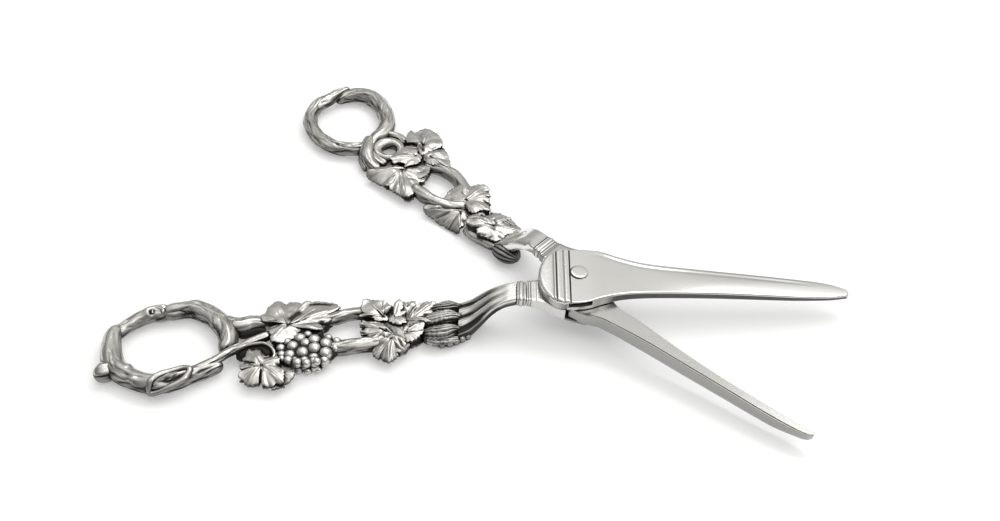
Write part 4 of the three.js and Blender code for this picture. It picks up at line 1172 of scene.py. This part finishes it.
def lower_ring():
    left = [
        (-83.6, -11.2, 2.3, 1.8), (-87.6, -7.2, 2.35, 1.95), (-90.8, -5, 2.35, 2), (-94.4, -3.9, 2.35, 2.05),
        (-99.5, -4.4, 2.35, 2.05), (-105.6, -6.9, 2.35, 2.05), (-109.5, -10.8, 2.4, 2.05),
        (-110.9, -15.2, 2.8, 2.05), (-110.4, -19, 3.1, 1.95), (-110, -22.4, 3.4, 1.6),
        (-109.4, -24.8, 3.6, 1.15), (-108.8, -26.2, 3.6, 1)]
    right = [
        (-109.8, -20.6, 1.8, 1.5), (-108.4, -24.2, 2.1, 1.9), (-106.3, -26.6, 2.3, 2.2),
        (-103.1, -28.2, 2.35, 2.4), (-98.2, -27.9, 2.35, 2.45), (-92.8, -25.3, 2.35, 2.45),
        (-88.6, -21.9, 2.35, 2.4), (-86.4, -17.9, 2.35, 2.35), (-85.9, -14, 2.35, 2.2), (-84.6, -9.6, 2.3, 2)]
    return [
        branch(right, 56, 0.3, bark=0.06, seed=21, twist=0.4, chased=40,
               scars=[(0.2, 80, 3, 0.7, 0.15, 0.4), (0.6, 95, 2.6, 0.7, 0.12, 0.3)]),
        branch(left, 56, 0.3, bark=0.07, seed=22, twist=0.5, chased=56, knots=[(0.97, 1.6, 0.35, 0.9)],
               scars=[(0.83, 75, 2.6, 1.3, 0.3, 0), (0.5, 60, 2, 0.8, 0.15, 0.35),
                      (0.2, 70, 1.6, 0.8, 0.2, 0.45)]),
    ]


def lower_loop():
    loop = [(-79.4 + 3.5 * math.cos(a), -13.3 + 3.4 * math.sin(a), MID - 0.1, 1.5 + 0.3 * math.cos(a + 2.6))
            for a in np.linspace(0, TURN, 17)[:-1]]
    fork = [(-87, -14.6, MID, 2.1), (-85.4, -11.4, MID, 2.4), (-83, -8, MID, 2.3), (-79.6, -5.8, 2.2, 2),
            (-75, -4.8, 2.1, 1.6)]
    arm = [(-87, -17.4, MID, 1.7), (-84.9, -19, 2.1, 1.6), (-81.8, -19.9, 2, 1.5), (-77.6, -19.2, 2, 1.4)]
    strip = [(-85.6, -8.6, 1.5, 1.3), (-82.2, -5.6, 1.4, 1.3), (-78.6, -3.6, 1.4, 1.2)]
    web = [(-84.4, -13, 2, 1.5), (-82.4, -9.6, 1.9, 1.7), (-79, -8.4, 1.8, 1.7), (-75.4, -8.6, 1.8, 1.5)]
    return [
        branch(web, 36, 0.3, bark=0.08, seed=29, chased=8),
        branch(loop, 32, 0.25, bark=0.06, seed=23, looped=True, chased=8),
        branch(fork, 48, 0.3, bark=0.07, seed=24, chased=16),
        branch(arm, 44, 0.3, bark=0.08, seed=27, chased=14, scars=[(0.5, 60, 4, 1, 0.1, 0.35)]),
        branch(strip, 36, 0.3, bark=0.07, seed=28, chased=6),
    ]


def build_lower():
    piece("lower_finger_ring", LOWER, lower_ring(), CAST)
    piece("lower_ring_loop", LOWER, lower_loop(), CAST)

    piece("lower_folded_leaf", LOWER, [
        sheet((-71.8, -19.9), rim(2.1, [
            -794, -218, 1, -10, 13, -2, 2, -6, 2, -14, 8, -11, 13, -4, 15, 0, 15, 0, 15, 7, 20, 11, 14, 15,
            0, 14, -4, 10, -1, 12, -5, 9, 1, 17, -9, 6, -15, -7, -19, -16, -19, -2, -15, 9, -13, -8, -12, -17,
        ]), (1.9, 0.5), 30, under=0.75, veins=2, creases=[
            (-76.5, -23.5, -69.8, -17.8, 0.6, 0.24, 0.44), (-72.3, -18.8, -70.2, -17.9, 0.5, 0.2, 0.48),
            (-74.5, -25.2, -73, -24.2, 0.15, 0.16, 0.4), (-68.5, -20.3, -68.3, -21.4, 0.25, 0.16, 0.56),
            (-75.2, -18.2, -73.4, -18.8, 0.25, 0.24, 0.72),
        ]),
        sheet((-66.6, -17.1), rim(1.9, [
            -688, -167, -4, -14, 5, -13, 9, -8, 5, -13, 12, -6, 20, 6, 23, 15, 19, 19, 8, 11, -13, 2, -17, -1,
            -10, 7, -10, 8, -14, 4, -15, -5,
        ]), (2.2, 0.35), 31, under=0.75, veins=2, creases=[
            (-67.2, -16, -63.1, -18.6, 0.5, 0.24, 0.4), (-62.6, -15.6, -59.6, -17.3, 0.5, 0.24, 0.72),
        ]),
        backing((-69.6, -19), (6.4, 5), 1.3, 64),
    ], LEAF)
    piece("lower_front_leaf", LOWER, [
        sheet((-69.6, -14.8), rim(2.2, [
            -745, -91, -4, -19, -2, -20, -3, -21, 4, -17, 9, -13, 15, -1, 12, 8, 7, 11, 16, 0, 13, 18, 5, 17,
            -6, 13, -6, 9, 0, 13, -7, -3, -5, -9, -13, 5, -5, 8, -3, 11, -12, -6,
        ]), (2.3, 0.25), 20, under=0.75, veins=2, creases=[
            (-73, -16.9, -72.4, -17.4, 0.35, 0.24, 0.64), (-71.8, -13.5, -69.2, -15.7, 0.35, 0.08, 0.32),
            (-71.7, -8.2, -69.7, -9.5, 0.4, 0.32, 0.8), (-74.5, -11.5, -72.8, -13.9, 0.25, 0.08, 0.24),
        ]),
    ], LEAF)
    piece("lower_broad_leaf", LOWER, [
        sheet((-69.3, -8.5), rim(0.9, [
            -762, -9, 2, -14, 6, -24, 14, -20, 9, -20, 23, -12, 22, -14, 14, -16, 14, -9, 11, -3, 12, 9,
            6, 14, 2, 12, 9, 9, 0, 8, -7, 7, 9, 11, 6, 10, -9, 9, 12, 9, 8, 10, -1, 13, -5, 11, -23, 0,
            -17, 0, -13, 0, -9, 0, -5, -4, -12, 4, -21, 0, -25, 0, -20, 0,
        ], (23, [0.2, 0.4, -0.3, 0.3, 0.9, 0.4, -0.2, -0.6, -1, -0.3])), (1.5, 0.35), 10, veins=3, creases=[
            (-69, -7, -64.9, -2.9, 0.15, 0.16, 0.48), (-69.4, -4.1, -68.8, -5, 0.2, 0.16, 0.48),
            (-65, -7, -64.1, -7.8, 0.3, 0.24, 0.72), (-61.8, -7.3, -60.3, -6.9, 0.4, 0.24, 0.8),
            (-61.7, -4.8, -60.6, -5.4, 0.25, 0.24, 0.72), (-76.3, -3.5, -75.2, -4.7, 0.3, 0.24, 0.8),
            (-71.4, -7.6, -70.6, -8.7, 0.2, 0.16, 0.56),
        ]),
        backing((-69.4, -11), (6.6, 5.6), 1, 63),
    ], LEAF)
    piece("lower_cluster_leaf", LOWER, [
        sheet((-46.3, -10), rim(1.7, [
            -521, -64, -1, -12, 1, -9, -6, -14, 0, -13, 2, -14, 3, -16, 7, -9, 15, 3, 9, -7, 8, -12, 11, -8,
            14, -3, 13, 4, 5, 7, -2, 6, 9, 0, 9, 6, -3, 8, 10, 3, 5, 10, -3, 6, 12, 5, 6, 7, 9, 3, 6, 5,
            -7, 4, -11, 6, -8, 8, -1, 11, -10, 4, -12, -1, -18, -8, -9, -4, -7, 7, -11, 8, -10, 6, -12, 7,
            -12, 1,
        ]), (1.9, 0.3), 40, veins=3, creases=[
            (-50, -11.8, -47.9, -11.3, 0.15, 0.16, 0.64), (-50.4, -8.3, -49.3, -8.1, 0.15, 0.16, 0.72),
            (-51.8, -9.6, -51.2, -9.3, 0.15, 0.16, 0.56), (-47.2, -7.6, -46.4, -9.1, 0.25, 0.24, 0.8),
            (-44.5, -16.2, -44, -16.7, 0.25, 0.24, 0.72), (-42.9, -14.8, -42.3, -15, 0.25, 0.24, 0.72),
            (-42.4, -12.9, -41.4, -12.9, 0.25, 0.24, 0.72), (-40, -11.3, -39.2, -11.4, 0.2, 0.16, 0.64),
            (-45.9, -9.6, -44, -9.5, 0.35, 0.16, 0.4),
        ]),
        backing((-45.8, -10.4), (5.4, 4.4), 1.1, 66),
    ], LEAF)
    piece("lower_hanging_leaf", LOWER, [
        sheet((-45, -6.4), rim(0.3, [
            -541, -11, -2, -15, 9, -6, 15, -4, 14, -10, 22, -13, 21, -18, 16, -2, 15, 9, 9, 13, -3, 10, -2, 5,
            14, 3, 3, 9, -3, 8, 3, 8, 7, 5, -12, 0, -12, 0, -14, 0, -15, 0, -11, 0, -12, 0, -13, 0, -4, 0,
            -13, 0, -14, 0, -12, 0,
        ], (16, [0.2, -1.2, -1.1, -1.2, -1.5, -1.2, -1.5, -1.2, -0.7, -1, -1, -0.5])),
        (0.7, 0.3), 50, veins=3, creases=[
            (-50.4, -3.7, -45.2, -7.7, 0.45, 0.32, 0.64), (-52.5, -1.9, -50.4, -3.6, 0.2, 0.16, 0.48),
            (-42.4, -4.2, -41.2, -4.2, 0.5, 0.24, 0.72), (-47.3, -1.6, -46.9, -2, 0.2, 0.16, 0.4),
            (-43.5, -0.9, -41.1, -1, 0.4, 0.24, 0.56), (-44.5, -5.7, -44.3, -5.7, 0.3, 0.24, 0.56),
            (-47.4, -4, -49.6, -1.2, 0.3, 0.4, 0.4), (-44.6, -4, -44.4, -1.2, 0.3, 0.4, 0.4),
        ]),
    ], LEAF)
    piece("lower_neck_leaf", LOWER, [
        sheet((-32.9, -6), rim(2.7, [
            -365, -86, 3, -15, 14, -10, 16, 4, 11, -10, 16, 5, 12, 6, 15, 0, 17, 8, -8, 12, -6, 12, -11, 14,
            6, 18, -6, 13, -6, 7, -15, 1, -13, 2, -19, 8, -12, -9, -2, -12, -16, 9, -22, 0, -6, -9, -4, -16,
            5, -16, 12, -15, 15, 1,
        ]), (2.9, 0.3), 60, under=-0.3, veins=4, creases=[
            (-38.9, -4.5, -37.5, -5.5, 0.35, 0.32, 0.72), (-38.1, -6.9, -36.2, -7.3, 0.3, 0.32, 0.8),
            (-34.2, -7.8, -32.9, -7.1, 0.25, 0.24, 0.72), (-31.9, -8.9, -31.1, -10.1, 0.2, 0.24, 0.72),
            (-34.7, -4.8, -31, -7.8, 0.2, 0.2, 0.64), (-32.3, -5.2, -31.6, -4.9, 0.4, 0.24, 0.64),
            (-33.7, -1.2, -32.2, -2, 0.3, 0.24, 0.72), (-31.2, -1.9, -30.6, -2.7, 0.25, 0.24, 0.72),
            (-29.3, -4, -28.1, -4.1, 0.3, 0.24, 0.64), (-38.8, -1.9, -35.8, -2.2, 0.2, 0.24, 0.64),
        ]),
    ], LEAF)

    inner = [(-62.8, -5.9), (-60.6, -5.6), (-57.3, -5.3), (-52.2, -5.5), (-48.4, -6.9), (-45, -9.6)]
    outer = [(-67, -15), (-61.8, -17), (-57.4, -17), (-52.8, -15.6), (-47, -12.6)]
    stem("lower_inner_stem", LOWER, inner, MID, 1.95, 25, 0.06)
    stem("lower_outer_stem", LOWER, outer, MID, 1.95, 26, 0.06)
    pods = [((-28.6, -6.5), (-38.6, -8), 2.5, (2, 2.4, 1.4)),
            ((-28.7, -10.4), (-38.4, -11.2), 2.6, (2.2, 2.5, 1.1))]
    strip = [(-39.4, -3.2, 1.9, 1), (-37.6, -2.3, 2, 1.35), (-35.2, -2.2, 2.1, 1.4), (-32.4, -2.2, 2.3, 1.4),
             (-29.8, -2.1, 2.6, 1.3), (-27.6, -2.2, 2.8, 1.2)]
    bud = [(-40.2, -3.6, 1.8, 1.2), (-38.8, -2.4, 1.9, 1.3), (-37.6, -2, 1.8, 1.1)]
    piece("lower_husk", LOWER, [*husk_shells(pods), branch(strip, 40, 0.3, bark=0.04, seed=31, chased=6),
                                branch(bud, 36, 0.25, bark=0.08, seed=32)], CAST)
    scroll = fluted_lump((-25.5, -2.7, 2.5), (4.3, 3.2, 2.5), 14)
    foot = [(-20.9, -6.9, 8.3, 1.7), (-23.7, -5.5, 6, 1.75), (-25.8, -4.3, 4.4, 1.6), (-27.9, -3.1, 3.2, 1.45),
            (-29.6, -2.1, 2.6, 1.2)]
    neck = [*neck_shells(0, 2.3, slim=1), scroll, branch(foot, 40, 0.3, bark=0.012, seed=33)]
    piece("lower_neck", LOWER, neck, LIT_CAST, sharp=55)
    piece("lower_collar", LOWER, collar_shells(), POLISHED)
    piece("lower_blade", LOWER, lower_blade_shells(), SATIN, sharp=38)


build_upper()
build_lower()


# Painted shade where a piece is hidden by its neighbours, which also stands for tarnish settled in its recesses

HOLLOW_REACH, HOLLOW_RAYS = 3.6, 30
HOLLOW_GAIN, HOLLOW_START = 1.5, 0.12


def shade_hollows(lever):
    members = [made for made, owner in pieces if owner is lever]
    points, faces = [], []
    start = 0
    for made in members:
        points.append(read(made.data.vertices, "co") * 1000)
        faces += [[start + k for k in p.vertices] for p in made.data.polygons]
        start += len(made.data.vertices)
    wall = BVHTree.FromPolygons(np.vstack(points).tolist(), faces)
    k = np.arange(HOLLOW_RAYS) + 0.5
    z = 1 - 2 * k / HOLLOW_RAYS
    spin = np.pi * (1 + 5 ** 0.5) * k
    ways = xyz(np.sqrt(1 - z * z) * np.cos(spin), np.sqrt(1 - z * z) * np.sin(spin), z)
    vectors = [Vector(way) for way in ways]
    for made, here in zip(members, points):
        normals = read(made.data.vertex_normals, "vector")
        facing = normals @ ways.T
        starts = here + normals * 0.06
        hidden = np.zeros(len(here))
        for i in range(len(here)):
            at = Vector(starts[i])
            total = weight = 0.0
            for j in np.nonzero(facing[i] > 0.12)[0]:
                share = facing[i, j]
                weight += share
                far = wall.ray_cast(at, vectors[j], HOLLOW_REACH)[3]
                if far is not None:
                    total += share * (1 - far / HOLLOW_REACH)
            hidden[i] = total / max(weight, 1e-6)
        stored = made.data.attributes["hollow"]
        dark = np.zeros(len(here), np.float32)
        stored.data.foreach_get("value", dark)
        dark = np.clip(dark + HOLLOW_GAIN * (hidden - HOLLOW_START), 0, 1)
        stored.data.foreach_set("value", dark.astype(np.float32))


shade_hollows(UPPER)
shade_hollows(LOWER)


# Floor, light and camera

TABLE_HALF = 2.5
TABLE_GLOW = 0.25
SKY = ((0.0, 0.34, 1.0), (0.3, 0.46, 0.985), (0.55, 0.68, 0.985), (0.7, 0.88, 0.985), (0.8, 1.2, 0.985))
ZENITH = (1.7, 1.7, 1.68, 1)


def table():
    mesh = bpy.data.meshes.new("table")
    far = TABLE_HALF
    mesh.from_pydata([(-far, -far, 0), (far, -far, 0), (far, far, 0), (-far, far, 0)], [], [(0, 1, 2, 3)])
    made = new_object("table", mesh)
    made.location.z = -0.0003
    white = bpy.data.materials.new("white table")
    tree = fresh_tree(white)
    rays = add_node(tree, "ShaderNodeLightPath").outputs
    seen = (Value(tree, rays["Is Camera Ray"]) + Value(tree, rays["Is Glossy Ray"])
            + Value(tree, rays["Is Transmission Ray"])).clamped()
    matt = add_node(tree, "ShaderNodeBsdfDiffuse", None, {"Color": (0.8, 0.8, 0.8, 1)})
    glow = add_node(tree, "ShaderNodeEmission", None, {"Color": (1, 1, 1, 1), "Strength": seen * TABLE_GLOW})
    both = add_node(tree, "ShaderNodeAddShader", None, {0: matt.outputs[0], 1: glow.outputs[0]})
    add_node(tree, "ShaderNodeOutputMaterial", None, {"Surface": both.outputs[0]})
    mesh.materials.append(white)


def sky():
    """A soft studio all round: brighter overhead and behind, with a window towards the blade tips."""
    world = bpy.data.worlds.new("studio")
    bpy.context.scene.world = world
    tree = fresh_tree(world)
    way = add_node(tree, "ShaderNodeTexCoord").outputs["Generated"]
    parts = add_node(tree, "ShaderNodeSeparateXYZ", None, {0: way}).outputs
    ramp = add_node(tree, "ShaderNodeValToRGB", None, {"Fac": parts["Z"]})
    stops = ramp.color_ramp.elements
    stops[1].position, stops[1].color = 1.0, ZENITH
    for k, (position, level, warmth) in enumerate(SKY):
        stop = stops.new(position) if k else stops[0]
        stop.position, stop.color = position, (level, level, level * warmth, 1)
    window = ((Value(tree, parts["X"]) - 0.06) * 13).clamped() * 0.45 + 1
    side = (Value(tree, parts["Y"]) * 0.42 + 0.74) * window
    back = add_node(tree, "ShaderNodeBackground", None, {"Color": ramp.outputs["Color"], "Strength": side})
    add_node(tree, "ShaderNodeOutputWorld", None, {"Surface": back.outputs[0]})


def looking(way):
    """The turn of a lamp or camera that looks along a way."""
    return way.to_track_quat("-Z", "Y").to_euler()


def lamp(name, place, size, power):
    """A soft rectangular lamp that shines on the origin."""
    data = bpy.data.lights.new(name, "AREA")
    data.shape = "RECTANGLE"
    data.size, data.size_y = size
    data.energy = power
    made = new_object(name, data)
    made.location = place
    made.rotation_euler = looking(-Vector(place))


def camera():
    azimuth, elevation, distance = math.radians(20.68), math.radians(43.25), 304.91
    aim = np.array([-23.45 + PIVOT[0], 7.93 + PIVOT[1], MID])
    level = math.cos(elevation)
    way = np.array([math.sin(azimuth) * level, -math.cos(azimuth) * level, math.sin(elevation)])
    data = bpy.data.cameras.new("camera")
    data.sensor_width = 36
    data.lens = 42.094
    made = new_object("camera", data)
    made.location = Vector((aim + way * distance) / 1000)
    made.rotation_euler = looking(Vector(-way))
    bpy.context.scene.camera = made


table()
sky()
lamp("soft box", (0.04, 0.39, 0.75), (0.84, 0.2), 1.5)
lamp("side strip", (0.6, -0.2, 0.6), (0.2, 0.5), 0.7)
camera()
bpy.context.scene.view_settings.view_transform = "Standard"
